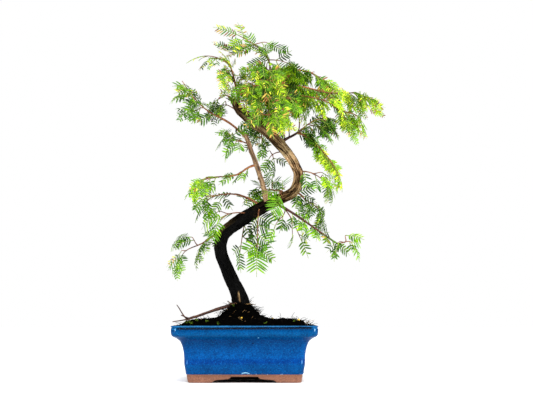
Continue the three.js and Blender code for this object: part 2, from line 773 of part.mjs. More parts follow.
const masses = Object.entries(MASSES).map(([name, { spray, ...plan }], i) => {
  const mass = { name, ...plan, spray: spray[0], needle: spray[1], seed: i + 1 };
  const stem = stemOf(mass);
  const bare = skinOf(shootStrand({ ...stem, sites: [] }, false, MARGIN));
  taken.push(bare);
  boxes.push(bare.boundingBox());
  return { ...mass, shoots: [stem] };
});
for (const mass of masses) {
  const [stem] = mass.shoots;
  for (const [site, to, lift] of plansOf(mass, stem)) {
    const [shoot, side] = branchTo(mass, stem, site, to, lift);
    const bare = shootStrand({ ...shoot, sites: [] }, true, MARGIN);
    if (site.held[side] || !occupy(bare)) continue;
    site.held[side] = shoot;
    mass.shoots.push(shoot);
  }
}
for (const mass of masses) {
  mass.shoots.forEach((shoot, rank) => {
    shoot.end = placeSpray(mass, shoot.frame(1), null, 1, 100 * rank);
  });
}
const rounds = Math.max(...masses.flatMap(({ shoots }) => shoots.map(({ sites }) => sites.length)));
for (let i = 0; i < rounds; i++) {
  for (const mass of masses) {
    mass.shoots.forEach(({ sites, frame }, rank) => {
      const site = sites.at(-1 - i);
      for (const side of site ? [0, 1] : []) {
        const step = 100 * rank + 4 * i + side + 1;
        site.held[side] ??= placeSpray(mass, frame(site.at), side, site.at, step);
      }
    });
  }
}

for (const mass of masses) {
  for (const shoot of mass.shoots.slice(1)) shoot.strand = shootStrand(shoot, true, 0);
  for (const site of mass.shoots[0].sites) site.held = site.held.map((held) => held?.strand ?? held);
  let solid = skinOf(shootStrand(mass.shoots[0], false, 0));
  if (mass.at) solid = largest(solid.subtract(limbs[mass.from].clear));
  add(mass.name, geometryOf(solid), "needle");
}

// The frame's origin is on the ground, under the middle of the whole plant's box.
const box = new THREE.Box3().setFromObject(tree);
const middle = box.getCenter(new THREE.Vector3());
tree.position.set(-middle.x, -middle.y, -box.min.z);

export default tree;
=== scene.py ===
# A dawn redwood bonsai in a blue glazed pot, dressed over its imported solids.
# Shapes are worked out in millimetres, in the frame of the pot: its middle on the ground is
# (0, 0, 0), +Z is up and the front faces -Y.
import math

import bpy
import numpy as np
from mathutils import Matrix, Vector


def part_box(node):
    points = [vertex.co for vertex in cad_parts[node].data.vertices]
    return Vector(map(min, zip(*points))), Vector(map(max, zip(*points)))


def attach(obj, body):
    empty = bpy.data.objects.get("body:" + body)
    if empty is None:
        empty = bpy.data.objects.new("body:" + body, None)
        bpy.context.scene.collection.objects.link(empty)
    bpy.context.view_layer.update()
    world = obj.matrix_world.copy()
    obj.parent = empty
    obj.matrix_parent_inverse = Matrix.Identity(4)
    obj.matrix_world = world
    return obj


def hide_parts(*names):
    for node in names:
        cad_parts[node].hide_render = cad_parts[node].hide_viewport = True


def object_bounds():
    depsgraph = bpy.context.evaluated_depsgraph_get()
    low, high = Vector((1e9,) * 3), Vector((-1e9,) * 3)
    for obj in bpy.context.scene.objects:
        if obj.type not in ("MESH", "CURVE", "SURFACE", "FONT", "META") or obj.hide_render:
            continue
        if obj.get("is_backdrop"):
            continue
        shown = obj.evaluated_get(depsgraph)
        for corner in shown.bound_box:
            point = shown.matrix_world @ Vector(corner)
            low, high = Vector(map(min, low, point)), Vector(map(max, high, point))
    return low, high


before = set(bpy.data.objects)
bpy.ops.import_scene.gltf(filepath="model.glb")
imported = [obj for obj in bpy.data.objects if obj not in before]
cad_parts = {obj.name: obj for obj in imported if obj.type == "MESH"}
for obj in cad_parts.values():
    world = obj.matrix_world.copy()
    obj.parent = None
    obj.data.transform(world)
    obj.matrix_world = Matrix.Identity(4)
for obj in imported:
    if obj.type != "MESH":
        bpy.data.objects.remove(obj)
cad_low, cad_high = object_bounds()
pot_low, pot_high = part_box("pot_body")
POT_MIDDLE = np.array([(pot_low[0] + pot_high[0]) / 2, (pot_low[1] + pot_high[1]) / 2, 0.0])

# Camera
# The photographer stood 1.3 m off with a short telephoto, low down, and tipped the camera up a
# little so that the whole tree fits over the pot.
CAMERA_SPOT = (23.1, -1300, 69.35)
CAMERA_TILT = math.atan(116.8 / 1183)
lens = bpy.data.cameras.new("camera")
lens.sensor_width = 36
lens.lens = 36 * 1183 / 533
camera = bpy.data.objects.new("camera", lens)
camera.location = np.array(CAMERA_SPOT) / 1000 + POT_MIDDLE
camera.rotation_euler = (math.pi / 2 + CAMERA_TILT, 0, 0)
bpy.context.collection.objects.link(camera)
bpy.context.scene.camera = camera

# Pot
# Slip-cast stoneware in one piece: a low rectangle with soft corners, a waisted wall, a rolled
# out lip and a bead on the rim. It is glazed cobalt blue over all but the foot, which stays clay.
POT_LENGTH = 155
POT_DEPTH = 120
RIM_CORNER = 9
FOOT_HEIGHT = 7.1
GLAZE_EDGE_Z = 9.0
RIM_WIDTH = 9.5
# Inset from the rim's edge and height, from the sagging panel between the feet, up the outside,
# over the rim and down the inside
POT_PROFILE = [
    (33, 2.9), (30.5, 3.3), (28.6, 5.6), (27.4, FOOT_HEIGHT), (16.5, FOOT_HEIGHT), (16.3, 7.3),
    (16.25, 8.3), (16.1, 8.8), (15.7, 9.0), (15.4, 9.5), (14.8, 13), (13.6, 20), (13.5, 26),
    (12.8, 33), (11.2, 39.5), (9.2, 43.8), (5.6, 46.8), (1.0, 49.6), (0.1, 52.6),
    (0.05, 55.4), (0.15, 56.9), (0.7, 57.4), (0.75, 58.1), (0.2, 58.6), (0.0, 59.0),
    (0.35, 59.6), (1.2, 59.95), (2.4, 60.0), (7.4, 59.9), (8.9, 59.6), (9.45, 58.6), (9.7, 56),
    (11, 52), (19, 44), (21.5, 33), (23.5, 13.6),
]
PROFILE_STEP = 0.75


def through(points, step):
    """A smooth curve through points, sampled about every step. Each span is the cubic that has, at
    both its ends, the slope of the parabola through that point and its two neighbours."""
    points = np.asarray(points, float)
    span = np.linalg.norm(np.diff(points, axis=0), axis=1)[:, None]
    slope = np.diff(points, axis=0) / span
    inner = (slope[:-1] * span[1:] + slope[1:] * span[:-1]) / (span[1:] + span[:-1])
    slopes = np.vstack([slope[:1], inner, slope[-1:]])
    rows = []
    for k, width in enumerate(span[:, 0]):
        t = np.arange(max(2, math.ceil(width / step)))[:, None] / max(2, math.ceil(width / step))
        rows.append(
            (2 * t**3 - 3 * t**2 + 1) * points[k]
            + (t**3 - 2 * t**2 + t) * width * slopes[k]
            + (3 * t**2 - 2 * t**3) * points[k + 1]
            + (t**3 - t**2) * width * slopes[k + 1]
        )
    return np.vstack([*rows, points[-1:]])


def rim_outline(inset, corner_steps, long_steps, short_steps):
    """Closed outlines of rounded rectangles, one for each inset from the rim: a corner's middle
    plus its radius turned by an angle, and on the sides that middle slides at a fixed angle."""
    reach_x, reach_y, turn = [], [], []
    corners = [(1, 1), (-1, 1), (-1, -1), (1, -1)]
    for k, (sx, sy) in enumerate(corners):
        nx, ny = corners[(k + 1) % 4]
        start = k * math.pi / 2
        side = np.arange(1, long_steps if k % 2 == 0 else short_steps)
        side = side / (side[-1] + 1)
        reach_x += [sx] * (corner_steps + 1) + list(sx + (nx - sx) * side)
        reach_y += [sy] * (corner_steps + 1) + list(sy + (ny - sy) * side)
        turn += list(start + np.linspace(0, math.pi / 2, corner_steps + 1))
        turn += [start + math.pi / 2] * len(side)
    reach_x, reach_y, turn = map(np.array, (reach_x, reach_y, turn))
    inset = np.asarray(inset, float)[..., None]
    radius = RIM_CORNER - 0.15 * inset
    x = reach_x * (POT_LENGTH / 2 - inset - radius) + radius * np.cos(turn)
    y = reach_y * (POT_DEPTH / 2 - inset - radius) + radius * np.sin(turn)
    return x, y


def sheet_faces(rows, columns, first=0, closed=True):
    """Quads over a grid of rows by columns of points, joined round each row if it is closed."""
    row = np.arange(rows - 1)[:, None] * columns
    here = np.arange(columns if closed else columns - 1)[None, :]
    there = (here + 1) % columns
    quads = [row + here, row + there, row + there + columns, row + here + columns]
    return first + np.stack([np.broadcast_to(q, (rows - 1, here.size)) for q in quads], -1).reshape(-1, 4)


def fan_faces(ring, middle, flip=False):
    """Triangles from a closed ring of point numbers to a middle point."""
    ring = np.asarray(ring)
    around = np.roll(ring, -1)
    pair = (around, ring) if flip else (ring, around)
    return np.stack([*pair, np.full(len(ring), middle)], -1)


def piece(name, points, faces, coats, stands_for=(), coat_of=None, smooth=True, marks=None):
    """A mesh at the origin from points in millimetres and groups of faces of one width each. coats
    are its materials, coat_of the one that each face has, and marks its numbers for each point."""
    groups = [np.asarray(group) for group in faces if len(group)]
    widths = np.concatenate([np.full(len(group), group.shape[1]) for group in groups])
    mesh = bpy.data.meshes.new(name)
    mesh.vertices.add(len(points))
    mesh.vertices.foreach_set("co", (np.asarray(points) / 1000 + POT_MIDDLE).astype(np.float32).ravel())
    mesh.loops.add(int(widths.sum()))
    corners = np.concatenate([group.ravel() for group in groups])
    mesh.loops.foreach_set("vertex_index", corners.astype(np.int32))
    mesh.polygons.add(len(widths))
    mesh.polygons.foreach_set("loop_start", (np.cumsum(widths) - widths).astype(np.int32))
    mesh.polygons.foreach_set("use_smooth", np.full(len(widths), smooth))
    for coat in coats:
        mesh.materials.append(coat)
    if coat_of is not None:
        mesh.polygons.foreach_set("material_index", np.asarray(coat_of, np.int32))
    for key, values in (marks or {}).items():
        mesh.attributes.new(key, "FLOAT", "POINT").data.foreach_set("value", values.astype(np.float32))
    mesh.update(calc_edges=True)
    made = bpy.data.objects.new(name, mesh)
    bpy.context.collection.objects.link(made)
    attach(made, "root")
    if stands_for:
        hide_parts(*stands_for)
    return made


def srgb(code):
    """A colour's linear numbers from its hex code: each channel to the power 2.4 after the offset."""
    shares = np.array([int(code[k : k + 2], 16) for k in (1, 3, 5)]) / 255
    linear = np.where(shares <= 0.04045, shares / 12.92, ((shares + 0.055) / 1.055) ** 2.4)
    return (*linear, 1.0)


def add(tree, kind, feeds=None, stops=(), **settings):
    """A shader node of that kind. feeds sets its inputs, by name or number, to values or to other
    nodes' outputs, and stops are the places and colours of a ramp."""
    made = tree.nodes.new("ShaderNode" + kind)
    for key, value in settings.items():
        setattr(made, key, value)
    for key, value in (feeds or {}).items():
        if isinstance(value, bpy.types.NodeSocket):
            tree.links.new(value, made.inputs[key])
        else:
            made.inputs[key].default_value = value
    for k, (place, colour) in enumerate(stops):
        ramp = made.color_ramp.elements
        stop = ramp[k] if k < 2 else ramp.new(place)
        stop.position = place
        stop.color = srgb(colour)
    return made


def coat(name, feeds=None):
    """A new material's node tree and its main shader, with inputs set as in add."""
    made = bpy.data.materials.new(name)
    made.use_nodes = True
    shader = made.node_tree.nodes["Principled BSDF"]
    for key, value in (feeds or {}).items():
        shader.inputs[key].default_value = value
    return made, made.node_tree, shader


# Cobalt glaze: a thick glossy glass over stoneware, speckled where the oxide gathered. It breaks
# lighter over the lip and the bead and pools dark in the groove under the bead. Its bands by height
# also hold painted light: painted shade under the roll of the lip, a painted highlight on the lip's
# bulge and on the top of the bead, and painted shadow in the groove under the bead.
glaze, tree, shader = coat(
    "cobalt_glaze",
    {"IOR": 1.5, "Specular IOR Level": 0.03, "Coat Weight": 0.02, "Coat Roughness": 0.03},
)
place = add(tree, "TexCoord").outputs["Object"]
parts = add(tree, "SeparateXYZ", {0: place}).outputs
height = parts["Z"]
waver = add(tree, "TexNoise", {"Vector": place, "Scale": 45, "Detail": 3}).outputs["Fac"]
shift = add(tree, "MapRange", {0: waver, 3: -0.0005, 4: 0.0005}).outputs[0]
waved = add(tree, "Math", {0: height, 1: shift}, operation="ADD").outputs[0]
# The pot leant a little in the kiln, so that the glaze ran lower on the left
sides = [POT_MIDDLE[0] - POT_LENGTH / 2000, POT_MIDDLE[0] + POT_LENGTH / 2000]
ran = add(tree, "MapRange", {0: parts["X"], 1: sides[0], 2: sides[1], 3: 0.0006, 4: -0.0004}).outputs[0]
level = add(tree, "Math", {0: waved, 1: ran}, operation="ADD").outputs[0]
share = add(tree, "MapRange", {0: level, 1: 0.0, 2: 0.0605}).outputs[0]
# The glaze's own bands by height, with painted shade under the lip's roll, painted highlights on the lip's bulge and
# the bead, and painted shadow in the groove under the bead
bands_and_painted_light = add(
    tree,
    "ValToRGB",
    {0: share},
    stops=[
        (0.0, "#003E78"), (1.0, "#2878AA"), (0.17, "#004883"), (0.3, "#004C8A"), (0.355, "#003E88"),
        (0.4, "#00428C"), (0.44, "#005298"), (0.58, "#004E90"), (0.69, "#00447E"), (0.76, "#003C74"),
        (0.815, "#004C80"), (0.865, "#00528A"), (0.89, "#004C86"), (0.925, "#003E70"), (0.94, "#02060C"),
        (0.962, "#02060C"), (0.97, "#185E94"), (0.978, "#266C9E"),
    ],
).outputs["Color"]
# The black under the bead, pooled glaze and painted shadow in its groove, ends before the corners
off_middle = add(tree, "Math", {0: parts["X"], 1: POT_MIDDLE[0]}, operation="SUBTRACT").outputs[0]
aside = add(tree, "Math", {0: off_middle}, operation="ABSOLUTE").outputs[0]
cornered = add(tree, "MapRange", {0: aside, 1: 0.069, 2: 0.0725}).outputs[0]
upper = add(tree, "MapRange", {0: share, 1: 0.925, 2: 0.935}).outputs[0]
clear_of_pool_and_shadow = add(tree, "Math", {0: cornered, 1: upper}, operation="MULTIPLY").outputs[0]
bands_and_painted_light = add(tree, "Mix", {0: clear_of_pool_and_shadow, 6: bands_and_painted_light, 7: srgb("#14649C")}, data_type="RGBA").outputs[2]
speckle = add(tree, "TexNoise", {"Vector": place, "Scale": 640, "Detail": 2, "Roughness": 0.6})
fleck = add(
    tree,
    "ValToRGB",
    {0: speckle.outputs["Fac"]},
    stops=[(0.3, "#A8B0BC"), (0.72, "#FFFFFF"), (0.5, "#D6DCE4")],
)
cloud = add(tree, "TexNoise", {"Vector": place, "Scale": 80, "Detail": 4})
clouds = add(tree, "ValToRGB", {0: cloud.outputs["Fac"]}, stops=[(0.3, "#DADADA"), (0.7, "#FFFFFF")])
spots = add(tree, "Mix", {0: 1.0, 6: bands_and_painted_light, 7: fleck.outputs["Color"]}, data_type="RGBA", blend_type="MULTIPLY")
tone = add(
    tree,
    "Mix",
    {0: 1.0, 6: spots.outputs[2], 7: clouds.outputs["Color"]},
    data_type="RGBA",
    blend_type="MULTIPLY",
)
# Pale crystals where the oxide came out of the glaze, about a millimetre apart
bright = add(tree, "TexNoise", {"Vector": place, "Scale": 1300, "Detail": 1}).outputs["Fac"]
crystal = add(tree, "MapRange", {0: bright, 1: 0.6, 2: 0.72, 4: 0.3}).outputs[0]
lit = add(tree, "Mix", {0: crystal, 6: tone.outputs[2], 7: srgb("#1C84D4")}, data_type="RGBA")
# The edge of the glaze breaks into small white beads
edge = add(tree, "ValToRGB", {0: share}, stops=[(0.147, "#FFFFFF"), (0.159, "#000000")]).outputs["Color"]
bead = add(tree, "TexVoronoi", {"Vector": place, "Scale": 420}).outputs["Distance"]
dot = add(tree, "MapRange", {0: bead, 1: 0.28, 2: 0.18}).outputs[0]
beads = add(tree, "Math", {0: edge, 1: dot}, operation="MULTIPLY").outputs[0]
beaded = add(tree, "Mix", {0: beads, 6: lit.outputs[2], 7: srgb("#A4C8DE")}, data_type="RGBA").outputs[2]
# Marks on the front: a pale crescent where the glaze was bruised on the foot's edge, a pinhole
# below the lip, a short pale scratch beside it, pale streaks where the glaze broke on the corners
# of the lip, and two pale streaks on the corners of the wall that are painted highlights, the
# reflections of the soft boxes. Each is a ball or a shell round a point, which a flattened measure
# of height draws out.
MARKS = [
    # point, share of height that counts, radius, half width, height over which it fades out, colour
    ((1.1, -44.6, 3.2), 1, 7.6, 0.4, 0.8, "#86BCD8"), ((8.9, -49.4, 41.6), 1, 0, 0.75, 9, "#020814"),
    ((14.6, -55.6, 47.6), 1, 0, 0.9, 9, "#5CA6CE"), ((-31, -46.9, 30.2), 1, 0, 0.5, 9, "#04224A"),
    ((36, -46.1, 18.5), 1, 0, 0.6, 9, "#042850"), ((-72.2, -59.2, 56.4), 0.24, 0, 0.5, 9, "#6CA4CC"),
    # The streaks at x = -60.6 and 60.6, on the wall's corners, are painted highlights: reflections of the soft boxes
    ((73.6, -58.4, 56.4), 0.22, 0, 0.5, 9, "#88B8D8"), ((-60.6, -45.8, 21.0), 0.12, 0, 0.5, 9, "#4484C4"),
    ((60.6, -45.9, 21.5), 0.14, 0, 0.55, 9, "#5494CC"),
]
marked = beaded
for middle, rising, radius, half, fade, colour in MARKS:
    spot = (np.array(middle) / 1000 + POT_MIDDLE) * (1, 1, rising)
    flat = add(tree, "VectorMath", {0: place, 1: (1, 1, rising)}, operation="MULTIPLY").outputs[0]
    gap = add(tree, "VectorMath", {0: flat, 1: tuple(spot)}, operation="DISTANCE").outputs["Value"]
    off = add(tree, "Math", {0: gap, 1: radius / 1000, 2: half / 1000}, operation="COMPARE").outputs[0]
    over = add(tree, "MapRange", {0: height, 1: (middle[2] + 6.0) / 1000, 2: (middle[2] + 6.0 + fade) / 1000})
    if radius:
        off = add(tree, "Math", {0: off, 1: over.outputs[0]}, operation="MULTIPLY").outputs[0]
    marked = add(tree, "Mix", {0: off, 6: marked, 7: srgb(colour)}, data_type="RGBA").outputs[2]
tree.links.new(marked, shader.inputs["Base Color"])
satin = add(tree, "MapRange", {0: speckle.outputs["Fac"], 3: 0.16, 4: 0.28}).outputs[0]
tree.links.new(satin, shader.inputs["Roughness"])
ripple = add(tree, "TexNoise", {"Vector": place, "Scale": 240, "Detail": 2})
dimple = add(tree, "Bump", {"Strength": 0.12, "Distance": 0.0006, "Height": ripple.outputs["Fac"]})
tree.links.new(dimple.outputs["Normal"], shader.inputs["Normal"])

# Bare stoneware: fired brick-brown clay, dry and slightly gritty, with paler grog showing.
clay, tree, shader = coat("bare_stoneware", {"IOR": 1.45})
place = add(tree, "TexCoord").outputs["Object"]
grit = add(tree, "TexNoise", {"Vector": place, "Scale": 900, "Detail": 4, "Roughness": 0.75})
body = add(
    tree,
    "ValToRGB",
    {0: grit.outputs["Fac"]},
    stops=[(0.3, "#5E3A2C"), (0.72, "#B68A6E"), (0.5, "#8E5C46"), (0.62, "#9E6C54")],
).outputs["Color"]
stain = add(tree, "TexNoise", {"Vector": place, "Scale": 70, "Detail": 3})
stained = add(tree, "ValToRGB", {0: stain.outputs["Fac"]}, stops=[(0.35, "#6A6A6A"), (0.7, "#989898")])
tone = add(
    tree, "Mix", {0: 0.5, 6: body, 7: stained.outputs["Color"]}, data_type="RGBA", blend_type="OVERLAY"
).outputs[2]
tree.links.new(tone, shader.inputs["Base Color"])
dry = add(tree, "MapRange", {0: grit.outputs["Fac"], 3: 0.75, 4: 0.95}).outputs[0]
tree.links.new(dry, shader.inputs["Roughness"])
tooth = add(tree, "Bump", {"Strength": 0.35, "Distance": 0.0004, "Height": grit.outputs["Fac"]})
tree.links.new(tooth.outputs["Normal"], shader.inputs["Normal"])

# The clay under the pot, where little light reaches, is painted nearly black: painted shade.
shade_black_base, tree, shader = coat("shade_black_clay", {"Roughness": 0.95, "Specular IOR Level": 0.02})
place = add(tree, "TexCoord").outputs["Object"]
grit = add(tree, "TexNoise", {"Vector": place, "Scale": 300, "Detail": 4}).outputs["Fac"]
painted_shade_black = add(tree, "ValToRGB", {0: grit}, stops=[(0.35, "#060403"), (0.7, "#140D0A")]).outputs["Color"]
tree.links.new(painted_shade_black, shader.inputs["Base Color"])

profile = through(POT_PROFILE, PROFILE_STEP)
x, y = rim_outline(profile[:, 0], 14, 30, 22)
rings, around = x.shape
shell = np.stack([x, y, np.broadcast_to(profile[:, 1:2], x.shape)], -1).reshape(-1, 3)
ends = np.array([[0, 0, POT_PROFILE[0][1]], [0, 0, POT_PROFILE[-1][1]]])
walls = sheet_faces(rings, around)
under = fan_faces(np.arange(around), rings * around, flip=True)
inside = fan_faces(np.arange(around) + (rings - 1) * around, rings * around + 1)
ring_of = np.arange(len(walls)) // around
bare = profile[ring_of, 1] < GLAZE_EDGE_Z - 0.15
outside = ring_of < np.argmax(profile[:, 1])
sagging = (profile[ring_of, 0] > 27.3) & outside
skin_of = np.concatenate([np.where(sagging, 2, bare & outside), np.full(len(under), 2), np.ones(len(inside), int)])
piece(
    "pot",
    np.vstack([shell, ends]),
    [walls, under, inside],
    [glaze, clay, shade_black_base],
    stands_for=["pot_body"],
    coat_of=skin_of,
)

# Feet
# The foot wall was cut with a stepped arch on each side, which leaves four corner feet of bare
# clay. They are cast with the pot.
for name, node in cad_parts.items():
    if name.startswith("foot_"):
        node.data.materials.clear()
        node.data.materials.append(clay)

# Limbs
# Every limb grew along a smooth path. A path is read by the share of its length.


class Route:
    """A path given by a function of a parameter from 0 to 1, read by the share of its length, which
    is summed over 200 steps."""

    def __init__(self, curve):
        self.curve = curve
        self.steps = np.linspace(0, 1, 201)
        stride = np.linalg.norm(np.diff(curve(self.steps), axis=0), axis=1)
        self.run = np.concatenate([[0], np.cumsum(stride)])
        self.length = self.run[-1]

    def step(self, share):
        return np.interp(np.asarray(share, float) * self.length, self.run, self.steps)

    def at(self, share):
        return self.curve(self.step(share))

    def along(self, share):
        t = self.step(share)
        ahead = self.curve(np.minimum(t + 1e-4, 1)) - self.curve(np.maximum(t - 1e-4, 0))
        return unit(ahead)


def unit(v):
    """Each vector divided by its length."""
    return v / np.linalg.norm(v, axis=-1, keepdims=True)


def vine(points):
    """A path through points: each span is the cubic whose slope at a point is half the step between
    that point's two neighbours. Beyond the ends the last step goes on."""
    points = np.asarray(points, float)
    padded = np.vstack([2 * points[0] - points[1], points, 2 * points[-1] - points[-2]])
    spans = len(points) - 1

    def curve(t):
        t = np.asarray(t, float)
        k = np.minimum((t * spans).astype(int), spans - 1)
        w = (t * spans - k)[..., None]
        p0, p1, p2, p3 = (padded[k + i] for i in range(4))
        s1, s2 = (p2 - p0) / 2, (p3 - p1) / 2
        return (2 * p1 - 2 * p2 + s1 + s2) * w**3 + (3 * p2 - 3 * p1 - 2 * s1 - s2) * w**2 + s1 * w + p1

    return Route(curve)


def bow(start, leaving, arriving, end):
    """The cubic with those four control points."""

    def curve(t):
        t = np.asarray(t, float)[..., None]
        s = 1 - t
        return s**3 * start + 3 * s**2 * t * leaving + 3 * s * t**2 * arriving + t**3 * end

    return Route(curve)


def chance(seed, step):
    """A number from 0 to 1 for a seed and a step: the fraction of a large multiple of a sine."""
    value = np.sin(seed * 12.9898 + step * 78.233) * 43758.5453
    return value - np.floor(value)


def grain(points, size, seed=0):
    """Smooth noise from -1 to 1: chance at the corners of cubes of that size, blended between them
    by the smooth step of each coordinate."""
    cell = points / size
    base = np.floor(cell)
    share = cell - base
    share = share * share * (3 - 2 * share)
    total = 0
    for corner in range(8):
        pick = np.array([corner & 1, corner >> 1 & 1, corner >> 2 & 1])
        weight = np.prod(np.where(pick == 1, share, 1 - share), axis=-1)
        key = (base + pick) @ np.array([1.0, 57.31, 113.77]) + 17.1 * seed
        total = total + weight * chance(1.7 + seed, key)
    return 2 * total - 1


def transported(path, shares, first=None):
    """Points, headings and two crosswise directions along a path. Each station keeps the direction
    of the one before, squared up to its own heading."""
    at, along = path.at(shares), path.along(shares)
    if first is None:
        axis = np.eye(3)[np.argmin(np.abs(along[0][::-1]))][::-1]
        first = np.cross(along[0], unit(np.cross(along[0], axis)))
    ups = []
    for heading in along:
        first = unit(first - heading * (first @ heading))
        ups.append(first)
    ups = np.array(ups)
    return at, along, ups, np.cross(along, ups)


def limb_grid(path, shares, angles, radius):
    """Points of a round bar: each station's point plus a radius, given for each station and angle,
    turned round the heading."""
    at, along, up, across = transported(path, shares)
    ring = up[:, None] * np.cos(angles)[None, :, None] - across[:, None] * np.sin(angles)[None, :, None]
    return at[:, None] + ring * radius[..., None], along


TRUNK = vine(
    [
        (-4, 0, 64), (-6, 0, 90), (-15.5, -2, 113), (-26, -4, 139), (-24.5, -4, 158.5),
        (-11.5, -3.5, 170), (4, -2.5, 180), (29, 2, 195), (52.5, 5, 207.5), (58.5, 4, 226),
        (50, 2, 244.5), (31.5, -1, 266), (19.5, -3, 277.5), (7, -4, 286), (-7, -5, 297),
        (-13.5, -5, 308.5),
    ]
)
TRUNK_RADII = [
    (0, 10.4), (0.04, 9.6), (0.08, 8.7), (0.12, 7.6), (0.2, 6.9), (0.27, 6.5), (0.32, 7.1),
    (0.42, 7), (0.48, 6.5), (0.54, 5.6), (0.6, 4.5), (0.66, 4.2), (0.72, 5), (0.8, 5.2),
    (0.84, 5), (0.89, 5.9), (0.92, 5.6), (0.96, 4.2), (1, 3.2),
]
# The dry bark of the upper trunk stands off the wood in plates
BARK_RADII = [
    (0, 10.4), (0.04, 9.6), (0.08, 8.7), (0.12, 7.6), (0.2, 6.9), (0.27, 6.6), (0.32, 7.1),
    (0.42, 7), (0.48, 6.6), (0.54, 6.1), (0.6, 5.6), (0.66, 5.6), (0.72, 6.1), (0.8, 6.1),
    (0.84, 6), (0.89, 6.6), (0.92, 6), (0.96, 4.6), (1, 3.4),
]
FLARE = 2.2
FLARE_REACH = 0.07
BUTTRESSES = 4
# name: parent, share of the parent, tip, arch, first and last radius, forks
BOUGHS = {
    "straight_bough": ("trunk", 0.49, (0, -3, 271), 0, (2.5, 2.3), ()),
    "left_bough": ("straight_bough", 0.92, (-29, -6, 289), 4, (1.3, 1), ()),
    "left_middle_bough": ("straight_bough", 0.55, (-10, -14, 224), -1, (1.2, 0.9), ()),
    "leader_bough": ("trunk", 0.81, (27, -4, 345), -1, (2.4, 1.1), ()),
    "shoulder_bough": ("leader_bough", 0.92, (66, 12, 345), 3, (1.2, 0.9), ()),
    "right_bough": ("leader_bough", 0.7, (84, 4, 320), 4, (1.3, 0.9), ()),
    "front_right_bough": ("leader_bough", 0.52, (64, -26, 309), 3, (1.2, 0.9), ()),
    "twiggy_bough": (
        "trunk", 0.78, (62, 13, 278), -2, (1.9, 1.1), (((60, 12, 300), 0.75), ((48, -2, 277), 0.4)),
    ),
    "tail_bough": ("twiggy_bough", 0.8, (72, 3, 266), 2, (1.1, 0.9), ()),
    "front_bough": ("trunk", 0.89, (20, -26, 298), 5, (1.6, 1.1), ()),
    "top_left_bough": ("trunk", 0.945, (-15, -10, 340), 2, (1.4, 1), ()),
    "back_bough": ("trunk", 0.875, (24, 30, 300), 4, (1.7, 1.1), ()),
    "back_left_bough": ("trunk", 0.96, (-20, 22, 318), 3, (1.4, 1), ()),
    "back_high_bough": ("leader_bough", 0.84, (42, 26, 338), 3, (1.2, 0.9), ()),
    "left_low_bough": ("trunk", 0.475, (-13, 8, 205), 4, (1.3, 0.9), ()),
    "left_bottom_bough": ("trunk", 0.32, (-44, 7, 153), 3, (1.3, 1), ()),
    "right_long_bough": ("trunk", 0.512, (98, -14, 150), 0, (1.5, 0.9), ()),
    "right_back_bough": ("trunk", 0.59, (64, 22, 203), 3, (1.3, 0.9), ()),
    "back_low_bough": ("trunk", 0.565, (34, 32, 212), 3, (1.4, 1), ()),
    "low_bough": (
        "trunk", 0.06, (-63, -29, 66.5), -0.5, (1.5, 1),
        (((-73, -28, 82), 0.94), ((-77, -32, 64), 0.97), ((-68, -33, 71), 0.9)),
    ),
}
UP = np.array([0.0, 0.0, 1.0])


def between(table, share):
    """Straight lines between the pairs of a table."""
    return np.interp(share, [row[0] for row in table], [row[1] for row in table])


def sweep(start, heading, tip, arch):
    """A bough's path: it leaves along a heading and comes into its tip from above by its arch."""
    reach = np.linalg.norm(tip - start)
    return bow(start, start + heading * reach * 0.33, tip + (start - tip) * 0.33 + UP * arch, tip)


# Trunk
# One S-shaped trunk, bent low when it was young. Its bark is stringy and peels in long strips:
# nearly black from the foot to past the low bend, dry and grey-brown above, with a jagged broken top.
AROUND = 88
STATIONS = 520
TWIST = 1.6  # radians that the bark's strips turn round the trunk from foot to top
angles = np.linspace(0, 2 * math.pi, AROUND, endpoint=False)
shares = np.linspace(0, 1, STATIONS)
s, a = shares[:, None], angles[None, :]
buttress = FLARE * np.exp(-s / FLARE_REACH) * np.cos(BUTTRESSES * a)
girth = between(BARK_RADII, shares)[:, None] * (1 + 0.06 * np.cos(3 * a + 7 * s)) + buttress
strip = a + TWIST * s


def wrapped(angle, share, turns, pitch, seed):
    """Noise on a limb: turns cells round it and one cell every pitch of its length."""
    spots = [np.cos(angle) * turns, np.sin(angle) * turns, share * TRUNK.length / pitch]
    return grain(np.stack(np.broadcast_arrays(*spots), -1), 1.0, seed)


long_crack = wrapped(strip, s, 4.2, 26, 1)
fine_crack = wrapped(strip, s, 9.5, 13, 2)
fibre = wrapped(strip, s, 16, 5, 3)
lump = wrapped(a, s, 1.3, 17, 4)
groove = np.clip(1 - np.abs(long_crack) / 0.2, 0, 1) ** 1.5
slit = np.clip(1 - np.abs(fine_crack) / 0.16, 0, 1)
wet = np.clip((0.53 - s) / 0.08, 0, 1)
burl = np.exp(-(((s - 0.895) / 0.02) ** 2)) * np.clip(np.cos(a - 5.2), 0, 1) ** 2
relief = 0.75 * lump - (1.1 + 0.7 * (1 - wet)) * groove - 0.7 * slit + 0.34 * fibre + 1.3 * burl
relief = relief * np.clip(girth / 6, 0.6, 1.25) * np.clip((1.01 - s) / 0.02, 0.3, 1)
skin, along = limb_grid(TRUNK, shares, angles, girth + relief)
jag = 2.2 * wrapped(a, s[-1:] * 0, 2.6, 10, 5) + 1.2 * wrapped(a, s[-1:] * 0, 6, 10, 6) + 1.2
last = skin[-1] + along[-1] * jag[0][:, None]
heart = TRUNK.at(1.0)
lip = heart + (last - heart) * 0.72 - along[-1] * 0.5
pit = heart + (skin[-1] - heart) * 0.42 - along[-1] * 2.0
grid = np.concatenate([skin, last[None], lip[None], pit[None]])
rows = len(grid)
foot, crest = rows * AROUND, rows * AROUND + 1
centres = np.array([TRUNK.at(0.0), heart - along[-1] * 2.6])

